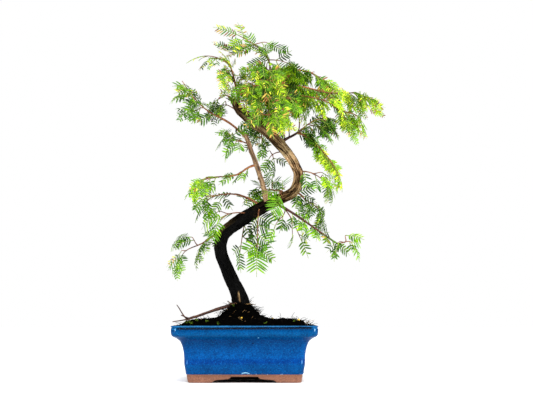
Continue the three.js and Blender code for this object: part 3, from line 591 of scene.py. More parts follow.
# The dark splinter that stands out of the broken top, split along its grain
SPLINTER = bow(*(
    np.array(p, float)
    for p in [(-8, -5, 303.5), (-13, -5.4, 305), (-17.4, -5.8, 309), (-22, -6, 310.8)]
))
splinter_shares = np.linspace(0, 1, 26)
splinter_angles = np.linspace(0, 2 * math.pi, 12, endpoint=False)
thin = 1.75 - 1.3 * splinter_shares[:, None] ** 1.3
ribbing = np.sin(splinter_angles * 5 + splinter_shares[:, None] * 9)
thin = thin * (1 + 0.28 * np.cos(2 * splinter_angles) + 0.2 * ribbing)
shard, _ = limb_grid(SPLINTER, splinter_shares, splinter_angles, thin)
first = rows * AROUND + 2
tip_of_shard = first + shard.size // 3

# Stringy bark: layered dry fibres with no gloss, darkened by painted shade in its grooves and slits
# and in the hollow of its broken top. It is nearly black from the foot to past the low bend, and
# the outer side of the low bend is worn brown.
bark, tree, shader = coat("stringy_bark", {"IOR": 1.45, "Specular IOR Level": 0.05})
place = add(tree, "TexCoord").outputs["Object"]
height = add(tree, "Attribute", attribute_name="share").outputs["Fac"]
depth = add(tree, "Attribute", attribute_name="depth").outputs["Fac"]
worn = add(tree, "Attribute", attribute_name="worn").outputs["Fac"]
patch = add(tree, "TexNoise", {"Vector": place, "Scale": 120, "Detail": 4}).outputs["Fac"]
drift = add(tree, "MapRange", {0: patch, 3: -0.06, 4: 0.06}).outputs[0]
share = add(tree, "Math", {0: height, 1: drift}, operation="ADD").outputs[0]
age = add(
    tree,
    "ValToRGB",
    {0: share},
    stops=[
        (0.0, "#040405"), (1.0, "#8A7054"), (0.2, "#050506"), (0.42, "#070606"), (0.49, "#33261A"),
        (0.56, "#8A7150"), (0.62, "#C6B088"), (0.7, "#CEBA94"), (0.8, "#8C7656"), (0.9, "#9C8664"),
        (0.97, "#4A3A2A"),
    ],
).outputs["Color"]
rubbed = add(
    tree, "Mix", {0: worn, 6: age, 7: srgb("#66563A")}, data_type="RGBA"
).outputs[2]
scar = add(tree, "Attribute", attribute_name="scar").outputs["Fac"]
scarred = add(tree, "Mix", {0: scar, 6: rubbed, 7: srgb("#B09874")}, data_type="RGBA").outputs[2]
fibres = add(tree, "TexNoise", {"Vector": place, "Scale": 800, "Detail": 5, "Roughness": 0.7})
strands = add(tree, "ValToRGB", {0: fibres.outputs["Fac"]}, stops=[(0.3, "#4C4C4C"), (0.7, "#B4B4B4")])
combed = add(
    tree, "Mix", {0: 0.6, 6: scarred, 7: strands.outputs["Color"]}, data_type="RGBA", blend_type="OVERLAY"
).outputs[2]
shadow = add(
    tree,
    "ValToRGB",
    {0: depth},
    stops=[(0.0, "#140E0A"), (1.0, "#FFFAF0"), (0.25, "#4A3C30"), (0.5, "#A89A88"), (0.72, "#F4ECDE")],
).outputs["Color"]
tone = add(
    tree, "Mix", {0: 1.0, 6: combed, 7: shadow}, data_type="RGBA", blend_type="MULTIPLY"
).outputs[2]
tree.links.new(tone, shader.inputs["Base Color"])
dry = add(tree, "MapRange", {0: share, 1: 0.35, 2: 0.55, 3: 0.55, 4: 0.9}).outputs[0]
tree.links.new(dry, shader.inputs["Roughness"])
nap = add(tree, "Bump", {"Strength": 0.5, "Distance": 0.0005, "Height": fibres.outputs["Fac"]})
tree.links.new(nap.outputs["Normal"], shader.inputs["Normal"])

# Painted shade: darker in the bark's grooves and slits and in the broken top's hollow, lighter on its lumps and
# fibres
depth_of = np.clip(0.62 + 0.35 * lump - 0.75 * groove - 0.45 * slit + 0.25 * fibre, 0, 1)
depth_of = np.concatenate([depth_of, depth_of[-1:], np.full((2, AROUND), 0.12)])
share_of = np.repeat(np.concatenate([shares, [1, 1, 1]]), AROUND)
outward = grid - np.concatenate([TRUNK.at(shares), [heart] * 3])[:, None]
upper_left = np.clip((outward[..., 2] - outward[..., 0]) / 8 - 0.25, 0, 1)
low_bend = np.exp(-(((share_of.reshape(rows, AROUND) - 0.325) / 0.035) ** 2))
worn_of = np.clip(upper_left * low_bend * 1.5, 0, 1)
# A forked strip of bark is torn off low on the front, down to the pale wood
rise = grid[..., 2] - 85.5
strip_at = np.stack([-7.4 + 0.05 * rise, -5.6 - 0.13 * rise, -8.4 + 0.16 * (rise - 4)])
strip_half = np.stack([0.75 - 0.03 * rise, 0.55 - 0.02 * rise, np.where(rise > 4, 0.6, 0)])
torn = np.clip(1.6 - np.abs(grid[..., 0] - strip_at) / np.maximum(strip_half, 0.05), 0, 1).max(axis=0)
torn = torn * np.clip(rise / 2 + 0.5, 0, 1) * np.clip((12.5 - rise) / 3, 0, 1) * (grid[..., 1] < -2)
torn = torn * np.clip(0.9 + 0.5 * wrapped(a, share_of.reshape(rows, AROUND), 9, 3, 9), 0, 1)
extra = 2 + shard.size // 3 + 1
piece(
    "trunk_bark",
    np.vstack([grid.reshape(-1, 3), centres, shard.reshape(-1, 3), SPLINTER.at(1.0)[None] + [[-0.6, 0, 0.2]]]),
    [
        sheet_faces(rows, AROUND)[:, ::-1],
        fan_faces(np.arange(AROUND), foot),
        fan_faces(np.arange(AROUND) + (rows - 1) * AROUND, crest, flip=True),
        sheet_faces(len(splinter_shares), 12, first)[:, ::-1],
        fan_faces(first + np.arange(12), first, flip=False)[1:-1],
        fan_faces(tip_of_shard - 12 + np.arange(12), tip_of_shard, flip=True),
    ],
    [bark],
    stands_for=["trunk"],
    marks={
        "share": np.concatenate([share_of, np.full(extra, 1.0)]),
        "depth": np.concatenate([depth_of.ravel(), np.full(extra, 0.3)]),
        "worn": np.concatenate([worn_of.ravel(), np.zeros(extra)]),
        "scar": np.concatenate([torn.ravel(), np.zeros(extra)]),
    },
)

# Boughs
# Slim live boughs, and a few short bare forks. Young bark is smooth and red-brown with fine
# lengthwise lines and scars of shed twigs, and turns tan and stringy on the two thickest.
BARKY = ("straight_bough", "leader_bough")


def bough_coat(name, dark, middle, light):
    """Thin bark in three shades, laid on by fine noise that is drawn out by fibres and by each point's
    depth. On the limbs depth follows the bark's relief, so that it is partly painted shade: darker
    where the bark sinks between its lines, lighter on swellings and knots.
    """
    made, tree, shader = coat(name, {"IOR": 1.45, "Specular IOR Level": 0.3})
    place = add(tree, "TexCoord").outputs["Object"]
    depth = add(tree, "Attribute", attribute_name="depth").outputs["Fac"]
    fine = add(tree, "TexNoise", {"Vector": place, "Scale": 700, "Detail": 4, "Roughness": 0.7})
    mixed = add(tree, "Math", {0: fine.outputs["Fac"], 1: depth}, operation="ADD")
    shade = add(
        tree,
        "ValToRGB",
        {0: add(tree, "Math", {0: mixed.outputs[0], 1: 0.5}, operation="MULTIPLY").outputs[0]},
        stops=[(0.28, dark), (0.68, light), (0.48, middle)],
    ).outputs["Color"]
    tree.links.new(shade, shader.inputs["Base Color"])
    shader.inputs["Roughness"].default_value = 0.7
    nap = add(tree, "Bump", {"Strength": 0.4, "Distance": 0.0004, "Height": fine.outputs["Fac"]})
    tree.links.new(nap.outputs["Normal"], shader.inputs["Normal"])
    return made


tan_bark = bough_coat("tan_bough_bark", "#2E2118", "#765A40", "#A88A66")
red_bark = bough_coat("red_bough_bark", "#2C1812", "#6E4026", "#A66A3C")
dark_bark = bough_coat("dark_bough_bark", "#140D0B", "#38211A", "#6A4230")
COATS = {
    "straight_bough": tan_bark,
    "leader_bough": tan_bark,
    "low_bough": dark_bark,
    "twiggy_bough": dark_bark,
    "right_long_bough": dark_bark,
}


def limb_mesh(path, radius_at, sides, pitch, seed, rough):
    """Points, faces and depths of a limb with lengthwise lines and small knots. Both ends close."""
    stations = max(4, int(path.length / pitch))
    shares = np.linspace(0, 1, stations)
    angles = np.linspace(0, 2 * math.pi, sides, endpoint=False)
    s, a = shares[:, None], angles[None, :]
    spots = [np.cos(a) * 2.2, np.sin(a) * 2.2, s * path.length / 7]
    line = grain(np.stack(np.broadcast_arrays(*spots), -1), 1.0, seed)
    spots[2] = s * path.length / 2.4
    knot = np.clip(grain(np.stack(np.broadcast_arrays(*spots), -1), 1.6, seed + 1), 0, 1) ** 2
    ring = radius_at(shares)[:, None]
    swell = 1 + rough * (0.16 * line + 0.5 * knot)
    points, along = limb_grid(path, shares, angles, ring * swell)
    tips = np.array([path.at(0.0) - along[0] * ring[0] * 0.4, path.at(1.0) + along[-1] * ring[-1] * 0.5])
    count = stations * sides
    faces = [
        sheet_faces(stations, sides)[:, ::-1],
        fan_faces(np.arange(sides), count),
        fan_faces(np.arange(sides) + count - sides, count + 1, flip=True),
    ]
    # Depth rises with the swell of lines and knots: painted shade on the sunken bark, painted light on the raised
    depth = np.concatenate([np.clip(0.5 + 0.45 * line + 0.3 * knot, 0, 1).ravel(), [0.3, 0.3]])
    return np.vstack([points.reshape(-1, 3), tips]), faces, depth


def joined(parts):
    """Several meshes as one: points and marks one after another, and faces renumbered to match."""
    points, faces, marks = [], [], []
    count = 0
    for more, groups, mark in parts:
        points.append(more)
        marks.append(mark)
        faces += [group + count for group in groups]
        count += len(more)
    return np.vstack(points), faces, np.concatenate(marks)


limbs = {"trunk": (TRUNK, TRUNK_RADII)}
for number, (name, (parent, at, tip, arch, radii, forks)) in enumerate(BOUGHS.items()):
    stem = limbs[parent][0]
    start, tip = stem.at(at), np.array(tip, float)
    pull = 0.15 if parent == "trunk" else 0.35
    heading = unit(unit(tip - start) * (1 - pull) + stem.along(at) * pull)
    path = sweep(start, heading, tip, arch)
    limbs[name] = (path, [(0, radii[0]), (1, radii[1])])
    barky = name in BARKY
    collar = 0.45 if parent == "trunk" else 0.25

    if name == "low_bough":
        radii = (1.9, 1.15)
    if name == "straight_bough":
        radii = (2.75, 2.4)

    def girth_at(share, radii=radii, length=path.length, collar=collar):
        return radii[0] + (radii[1] - radii[0]) * share + collar * radii[0] * np.exp(-share * length / 5)

    parts = [limb_mesh(path, girth_at, 20 if barky else 12, 0.9, number, 1.0 if barky else 0.8)]
    for k, (end, share) in enumerate(forks):
        fork = sweep(path.at(share), path.along(share), np.array(end, float), 0)
        parts.append(limb_mesh(fork, lambda t: 0.85 - 0.4 * t, 7, 1.2, 50 + number + k, 0.8))
    points, faces, depths = joined(parts)
    piece(
        name.replace("_bough", "_limb"),
        points,
        faces,
        [COATS.get(name, red_bark)],
        stands_for=[name],
        marks={"depth": depths},
    )

# Soil
# Black, fibrous potting soil, mounded round the foot of the trunk, with chips of bark, fine dead
# roots, a little moss and four pellets of old fertiliser on it.
SOIL_EDGE_Z = 58.5
SOIL_PLATEAU = 66.5
MOUND_RISE = 17
MOUND_REACH = 12
MOUND_MIDDLE = np.array([-5.0, 0.0])
CLEAR = 0.3


def soil_height(x, y):
    """The soil's height: it rises from the rim as a falling exponential, by a bell round the trunk,
    and by waves and clods that fade out towards the rim."""
    inset = RIM_WIDTH + CLEAR
    edge = np.minimum(POT_LENGTH / 2 - np.abs(x), POT_DEPTH / 2 - np.abs(y)) - inset
    edge = np.maximum(edge, 0)
    rise = (SOIL_PLATEAU - SOIL_EDGE_Z) * (1 - np.exp(-edge / 6))
    away = np.maximum(np.hypot(x - MOUND_MIDDLE[0], y - MOUND_MIDDLE[1]) - 8, 0) / MOUND_REACH
    wave = 0.7 * np.sin(x * 0.31 + 1) * np.cos(y * 0.27) * np.minimum(1, edge / 8)
    spot = np.stack([x, y, np.zeros_like(x)], -1)
    clods = 1.1 * grain(spot, 5.5, 11) + 0.75 * grain(spot, 2.4, 12) + 0.45 * grain(spot, 1.2, 13)
    clods = clods * np.clip(edge / 3, 0.25, 1)
    return SOIL_EDGE_Z + rise + MOUND_RISE * np.exp(-away * away) + wave + clods


# Potting soil: damp peat and composted bark, dark and dull, with a few paler crumbs.
soil_coat, tree, shader = coat("potting_soil", {"IOR": 1.4, "Specular IOR Level": 0.02})
place = add(tree, "TexCoord").outputs["Object"]
crumb = add(tree, "TexNoise", {"Vector": place, "Scale": 480, "Detail": 6, "Roughness": 0.75})
dirt = add(
    tree,
    "ValToRGB",
    {0: crumb.outputs["Fac"]},
    stops=[(0.3, "#010101"), (0.9, "#2A2018"), (0.62, "#020202"), (0.76, "#0C0906")],
).outputs["Color"]
tree.links.new(dirt, shader.inputs["Base Color"])
damp = add(tree, "MapRange", {0: crumb.outputs["Fac"], 3: 0.7, 4: 0.98}).outputs[0]
tree.links.new(damp, shader.inputs["Roughness"])
lumps = add(tree, "Bump", {"Strength": 0.8, "Distance": 0.0012, "Height": crumb.outputs["Fac"]})
tree.links.new(lumps.outputs["Normal"], shader.inputs["Normal"])

edge_x, edge_y = rim_outline(RIM_WIDTH + 0.6 + CLEAR, 10, 60, 46)
inward = np.linspace(0, 1, 96)[:-1] ** 0.9
grid_x = edge_x + (MOUND_MIDDLE[0] - edge_x) * inward[:, None]
grid_y = edge_y + (MOUND_MIDDLE[1] - edge_y) * inward[:, None]
top = np.stack([grid_x, grid_y, soil_height(grid_x, grid_y)], -1)
skirt_x, skirt_y = rim_outline([23.2, 21.6, 19.4, 11.4], 10, 60, 46)
skirt_z = np.broadcast_to(np.array([14.2, 33, 44, 52])[:, None], skirt_x.shape)
skirt = np.stack([skirt_x, skirt_y, skirt_z], -1)
bed = np.concatenate([skirt, top])
rows, columns = bed.shape[:2]
summit = soil_height(*MOUND_MIDDLE[:, None])[0]
piece(
    "soil_bed",
    np.vstack([bed.reshape(-1, 3), [[0, 0, 14.2], [*MOUND_MIDDLE, summit]]]),
    [
        sheet_faces(rows, columns),
        fan_faces(np.arange(columns), rows * columns, flip=True),
        fan_faces(np.arange(columns) + (rows - 1) * columns, rows * columns + 1),
    ],
    [soil_coat],
    stands_for=["soil"],
)
draw = np.random.default_rng(7)

# Crumbs: chips and grains of bark and clay that lie loose on the soil
CRUMBS = 1100
RIM_CRUMBS = 150  # of them, those that were spilt over both ends of the rim
ICO = np.array(
    [(0, 0, 1), (0.89, 0, 0.45), (0.28, 0.85, 0.45), (-0.72, 0.53, 0.45), (-0.72, -0.53, 0.45),
     (0.28, -0.85, 0.45), (0.72, 0.53, -0.45), (-0.28, 0.85, -0.45), (-0.89, 0, -0.45),
     (-0.28, -0.85, -0.45), (0.72, -0.53, -0.45), (0, 0, -1)]
)
ICO_FACES = np.array(
    [(0, 1, 2), (0, 2, 3), (0, 3, 4), (0, 4, 5), (0, 5, 1), (1, 6, 2), (2, 7, 3), (3, 8, 4), (4, 9, 5),
     (5, 10, 1), (2, 6, 7), (3, 7, 8), (4, 8, 9), (5, 9, 10), (1, 10, 6), (6, 11, 7), (7, 11, 8),
     (8, 11, 9), (9, 11, 10), (10, 11, 6)]
)


def scattered(count, draw, inset=12.5):
    """Places on the soil: evenly drawn over the bed inside an inset from the rim."""
    x = draw.uniform(-1, 1, count) * (POT_LENGTH / 2 - inset)
    y = draw.uniform(-1, 1, count) * (POT_DEPTH / 2 - inset)
    return np.stack([x, y, soil_height(x, y)], -1)


def lumps_at(spots, sizes, draw):
    """Small irregular lumps: the twelve corners of an icosahedron, stretched three ways, pushed in
    or out by chance and turned about the upright."""
    count = len(spots)
    shape = ICO[None] * (1 + draw.uniform(-0.25, 0.25, (count, 12, 1)))
    shape = shape * sizes[:, None, :]
    turn = draw.uniform(0, 2 * math.pi, count)[:, None]
    x = shape[..., 0] * np.cos(turn) - shape[..., 1] * np.sin(turn)
    y = shape[..., 0] * np.sin(turn) + shape[..., 1] * np.cos(turn)
    points = np.stack([x, y, shape[..., 2]], -1) + spots[:, None]
    faces = (ICO_FACES[None] + 12 * np.arange(count)[:, None, None]).reshape(-1, 3)
    return points.reshape(-1, 3), faces


def crumb_coat(name, dark, light, rough=0.95):
    """A dull crumb whose shade wanders between two colours."""
    made, tree, shader = coat(name, {"Roughness": rough, "Specular IOR Level": 0.02})
    place = add(tree, "TexCoord").outputs["Object"]
    fine = add(tree, "TexNoise", {"Vector": place, "Scale": 330, "Detail": 4})
    shade = add(tree, "ValToRGB", {0: fine.outputs["Fac"]}, stops=[(0.35, dark), (0.65, light)])
    tree.links.new(shade.outputs["Color"], shader.inputs["Base Color"])
    return made


spots = scattered(CRUMBS, draw)
ends = np.arange(CRUMBS) < RIM_CRUMBS
side = np.where(draw.random(CRUMBS) < 0.5, -1, 1)
over_rim = np.stack([side * draw.uniform(61, 72, CRUMBS), draw.uniform(-46, 44, CRUMBS), np.full(CRUMBS, 60.3)], -1)
on_bed = np.abs(over_rim[:, 0]) < POT_LENGTH / 2 - RIM_WIDTH
over_rim[on_bed, 2] = soil_height(*over_rim[on_bed, :2].T) + 0.4
spots = np.where(ends[:, None], over_rim, spots)
sizes = draw.uniform(0.35, 1.25, (CRUMBS, 1)) * np.array([1.3, 0.9, 0.6]) * draw.uniform(0.7, 1.2, (CRUMBS, 3))
points, faces = lumps_at(spots, sizes, draw)
piece(
    "soil_crumbs",
    points,
    [faces],
    [crumb_coat("bark_crumb", "#020202", "#0E0B08"), crumb_coat("clay_crumb", "#4A3A2C", "#8A7258")],
    coat_of=np.repeat(draw.random(CRUMBS) < 0.02, 20),
    smooth=False,
)

# Dead roots and bark fibres: they lie over the soil and the rim, and stand up from the mound
FIBRES = 760


def tubes(rows, radii, sides):
    """Round bars along rows of stations, all with the same number of stations: rings of points, a
    point at the end, and one face over the root."""
    heading = unit(np.gradient(rows, axis=1))
    helper = np.where(np.abs(heading[..., 2:]) > 0.85, [1.0, 0.0, 0.0], UP)
    side = unit(np.cross(heading, helper))
    over = np.cross(side, heading)
    angle = np.linspace(0, 2 * math.pi, sides, endpoint=False)
    ring = side[:, :, None] * np.cos(angle)[:, None] + over[:, :, None] * np.sin(angle)[:, None]
    points = rows[:, :, None] + ring * radii[..., None, None]
    count, stations = rows.shape[:2]
    per = stations * sides + 1
    whole = np.concatenate([points.reshape(count, -1, 3), rows[:, -1:] + heading[:, -1:] * 0.3], 1)
    quads = sheet_faces(stations, sides)[None, :, ::-1] + per * np.arange(count)[:, None, None]
    last = (stations - 1) * sides + np.arange(sides)
    caps = fan_faces(last, stations * sides, flip=True)[None] + per * np.arange(count)[:, None, None]
    root = np.arange(sides)[None] + per * np.arange(count)[:, None]
    return whole.reshape(-1, 3), quads.reshape(-1, 4), caps.reshape(-1, 3), root


def fibres(starts, turns, rises, lengths, bend, draw, stations=7):
    """Stations of thin curved fibres: each starts on the soil, heads out at a turn about the upright
    and a rise, and both change evenly along it by chance."""
    count = len(starts)
    t = np.linspace(0, 1, stations)
    turn = turns[:, None] + draw.normal(0, bend, (count, 1)) * t + draw.normal(0, bend * 0.4, (count, stations))
    rise = rises[:, None] - draw.uniform(0.2, 1.4, (count, 1)) * t
    way = np.stack([np.cos(turn) * np.cos(rise), np.sin(turn) * np.cos(rise), np.sin(rise)], -1)
    path = np.cumsum(way * (lengths / (stations - 1))[:, None, None], axis=1)
    path = starts[:, None] + path - path[:, :1]
    floor = soil_height(path[..., 0], path[..., 1])
    inside = np.abs(path[..., 0]) < POT_LENGTH / 2 - RIM_WIDTH
    inside = inside & (np.abs(path[..., 1]) < POT_DEPTH / 2 - RIM_WIDTH)
    floor = np.where(inside, floor, 60.2)
    path[..., 2] = np.maximum(path[..., 2], floor + 0.1)
    return path


def on_mound(count, draw, near, far):
    """Places on the mound, evenly round the trunk and drawn between two distances from its middle."""
    turn = draw.uniform(0, 2 * math.pi, count)
    away = draw.uniform(near, far, count)
    x, y = MOUND_MIDDLE[0] + away * np.cos(turn), MOUND_MIDDLE[1] + away * np.sin(turn)
    return np.stack([x, y, soil_height(x, y) - 0.3], -1), turn


bed_spots = scattered(FIBRES // 2, draw, 9.5)
bed_spots[:90, 0] = np.where(bed_spots[:90, 0] < 0, -1, 1) * draw.uniform(62, 72, 90)
bed_spots[:90, 2] = 60.4
mound_spots, mound_turns = on_mound(FIBRES - len(bed_spots), draw, 8, 24)
starts = np.vstack([bed_spots, mound_spots])
turns = np.concatenate([
    draw.uniform(0, 2 * math.pi, len(bed_spots)),
    mound_turns + draw.normal(0, 0.9, len(mound_spots)),
])
rises = draw.uniform(0.0, 1.25, FIBRES)
lengths = draw.uniform(2.5, 8.5, FIBRES) * np.where(draw.random(FIBRES) < 0.12, 1.7, 1)
paths = fibres(starts, turns, rises, lengths, 0.9, draw)
radii = draw.uniform(0.16, 0.36, (FIBRES, 1)) * np.linspace(1, 0.5, 7)[None]
points, quads, caps, root = tubes(paths, radii, 4)
tan_fibre = draw.random(FIBRES) < 0.035
piece(
    "soil_fibres",
    points,
    [quads, caps, root],
    [crumb_coat("black_fibre", "#020202", "#0A0806"), crumb_coat("straw_fibre", "#6A4A2C", "#A88A5A")],
    coat_of=np.concatenate([np.repeat(tan_fibre, 24), np.repeat(tan_fibre, 4), tan_fibre]),
)

# Moss: small soft tufts of short green spikes near the left rim, by the trunk and at the front
MOSS_SPOTS = [
    (-62, -44, 3.0), (-57, -44, 3.4), (-51, -40, 2.4), (-66, -34, 2.5), (-40, -44, 2.2), (-28, -46, 2.0),
    (22, -46, 2.2), (-12.3, -11, 1.6), (-58, -20, 4.0), (52, -40, 1.6), (-48, 34, 5.0), (40, 36, 4.0), (60, 10, 3.0),
]
tufts = []
for x, y, reach in MOSS_SPOTS:
    count = int(11 * reach)
    turn = draw.uniform(0, 2 * math.pi, count)
    away = reach * np.sqrt(draw.random(count)) * 0.6
    px, py = x + away * np.cos(turn), y + away * np.sin(turn)
    tufts.append(np.stack([px, py, soil_height(px, py) - 0.1], -1))
tufts = np.vstack(tufts)
paths = fibres(
    tufts, draw.uniform(0, 6.28, len(tufts)), draw.uniform(0.5, 1.5, len(tufts)),
    draw.uniform(0.8, 2.4, len(tufts)), 0.5, draw, 4,
)
points, quads, caps, root = tubes(paths, np.full((len(tufts), 1), 0.2) * np.array([[1, 0.9, 0.7, 0.3]]), 3)
piece(
    "moss",
    points,
    [quads, caps, root],
    [crumb_coat("moss_green", "#22380E", "#6C8A2C")],
)

# Four pellets of slow fertiliser, pressed balls with a waxy yellow skin
BALL_ROWS, BALL_COLUMNS = 14, 20
rise = np.linspace(0, math.pi, BALL_ROWS + 2)[1:-1, None]
turn = np.linspace(0, 2 * math.pi, BALL_COLUMNS, endpoint=False)[None]
ball = np.stack([np.sin(rise) * np.cos(turn), np.sin(rise) * np.sin(turn), -np.cos(rise) + 0 * turn], -1)
ball = np.vstack([ball.reshape(-1, 3), [[0, 0, -1], [0, 0, 1]]])
ball = ball * (1 + 0.07 * grain(ball * 1.0, 0.8, 31))[:, None]
ball_faces = [
    sheet_faces(BALL_ROWS, BALL_COLUMNS),
    fan_faces(np.arange(BALL_COLUMNS), BALL_ROWS * BALL_COLUMNS, flip=True),
    fan_faces(np.arange(BALL_COLUMNS) + (BALL_ROWS - 1) * BALL_COLUMNS, BALL_ROWS * BALL_COLUMNS + 1),
]
pellets = []
for x, y, radius in ((-3.5, -27, 1.2), (57.5, -30, 1.3), (30, 38, 1.2), (-44, 22, 1.2)):
    at = np.array([x, y, soil_height(np.array([x]), np.array([y]))[0] + radius * 0.55])
    pellets.append((ball * radius + at, ball_faces, np.zeros(len(ball))))
points, faces, _ = joined(pellets)
piece("pellets", points, faces, [crumb_coat("yellow_pellet", "#C89A28", "#F0D060", 0.5)])

# Foliage
# Soft flat needles stand in opposite pairs along thin green ribs. The ribs are shed whole, so
# they stand in pairs too, along red-brown shoots that branch from the stem of each mass.
MASSES = {
    # name: (from, at, tip, arch, sides, spray, needle, extra shoots)
    "apex": ("leader_bough", 0, (-30, 2, 396), 7, 1, 30, 12,
             (((68, -15, 335), 0.25), ((-18, 10, 366), 0.4), ((42, -10, 362), 0.6))),
    "top_left": ("top_left_bough", 0, (-68, -18, 352), 9, 1, 24, 9, ()),
    "crown_top_left": ("top_left_bough", 0.75, (-37, -24, 317), 10, 2, 26, 11, ()),
    "crown_left": ("trunk", 0.955, (-42, -2, 292), 8, 2, 22, 10, ()),
    "crown_front": ("leader_bough", 0.79, (2, -50, 296), 18, 5, 27, 12, ()),
    "crown_middle": ("leader_bough", 0.6, (58, -56, 284), 14, 5, 27, 12, ()),
    "front": ("front_bough", 0, (28, -62, 258), 20, 4, 27, 12, ()),
    "shoulder": ("shoulder_bough", 0, (101, 18, 320), 4, 3, 26, 12, ()),
    "right_tip": ("right_bough", 0, (153, 0, 306), 6, 3, 27, 11, ()),
    "cascade": ("front_right_bough", 0, (131, -30, 261), 20, 3, 28, 12, ()),
    "right_under": ("twiggy_bough", 0, (108, 18, 276), 12, 3, 26, 12, ()),
    "tail": ("tail_bough", 0, (112, -18, 199), 14, 0, 27, 13, ()),
    "back": ("back_bough", 0, (20, 72, 268), 20, 3, 28, 12, ()),
    "back_left": ("back_left_bough", 0, (-40, 52, 296), 15, 3, 27, 12, ()),
    "back_high": ("back_high_bough", 0, (62, 66, 312), 16, 3, 27, 12, ()),
    "left_high": ("left_bough", 0, (-83, -10, 349), -10, 3, 26, 12, ()),
    "hanging": ("straight_bough", 0.86, (-27, -14, 242), 16, 2, 25, 12, ()),
    "centre": ("trunk", 0.865, (18, 26, 246), 12, 2, 24, 11, ()),
    "inner": ("trunk", 0.745, (16, 18, 232), 8, 1, 22, 10, ()),
    "left_middle": ("left_middle_bough", 0, (-67, -30, 200), 12, 2, 24, 10, ()),
    "left_low": ("left_low_bough", 0, (-60, 20, 180), 12, 2, 25, 11, ()),
    "left_fan": ("trunk", 0.43, (-41, -34, 151), 18, 1, 32, 14, ()),
    "left_bottom": ("left_bottom_bough", 0, (-81, 12, 119), 12, 3, 25, 11, ()),
    "right_low": ("trunk", 0.665, (98, -16, 201), 10, 2, 25, 12, ()),
    "right_back": ("right_back_bough", 0, (92, 30, 168), 10, 2, 26, 12, ()),
    "right_long": ("right_long_bough", 0, (128, -22, 131), 10, 2, 25, 12, (((94, -26, 134), 0.1),)),
    "back_low": ("back_low_bough", 0, (10, 66, 192), 14, 2, 28, 12, ()),
    "under_left": ("trunk", 0.46, (12, -34, 116), 16, 0, 32, 14, ()),
    "under_right": ("trunk", 0.505, (70, 12, 136), 14, 1, 24, 11, (((28, -16, 152), 0.2),)),
    "under_back": ("trunk", 0.42, (-10, 34, 122), 12, 1, 26, 12, ()),
    "front_low": ("trunk", 0.55, (34, -38, 181), 14, 1, 30, 15, ()),
    "crown_top": ("leader_bough", 0.95, (4, -34, 330), 9, 3, 26, 11, ()),
}
SITE_STEP = 11
SHOOT_ANGLE = 0.85
ROLL = 0.8
FRAME_STEPS = 24
STALK = 3
RIB_DROOP = 0.5


def turned(v, axis, angle):
    """v turned round an axis by an angle: its part along the axis stays and the rest turns."""
    flat = v - axis * (v @ axis)
    return axis * (v @ axis) + flat * math.cos(angle) + np.cross(axis, v) * math.sin(angle)


def reach_out(start, heading, tip, arch, spray):
    """A shoot's path: it leaves along a heading, rises over its arch and stops where its last spray
    goes on to the tip."""
    crest = tip + (start - tip) * 0.42 + UP * arch
    last = unit(tip - crest)
    end = tip - 0.9 * spray * last
    reach = np.linalg.norm(end - start)
    return bow(start, start + heading * reach * 0.35, end - last * reach * 0.33, end)


class Shoot:
    """A shoot with the shares of its length where sprays or side shoots stand in pairs. Its upper
    side is carried along in 24 steps and rolls from side to side."""

    def __init__(self, seed, path, first):
        self.path, self.length = path, path.length
        count = int((self.length - 4) / SITE_STEP + 0.5)
        self.sites = [(i + 0.72) / (count + 0.2) for i in range(count)]
        self.held = set()
        self.phase = 7 * chance(seed, self.length)
        self.ups = [first]
        for heading in path.along(np.arange(FRAME_STEPS + 1) / FRAME_STEPS):
            up = self.ups[-1]
            self.ups.append(unit(up - heading * (up @ heading)))

    def frame(self, share):
        along = self.path.along(share)
        up = self.ups[int(share * FRAME_STEPS + 0.5) + 1]
        up = unit(up - along * (up @ along))
        return self.path.at(share), along, turned(up, along, ROLL * math.sin(self.phase + 4 * share))


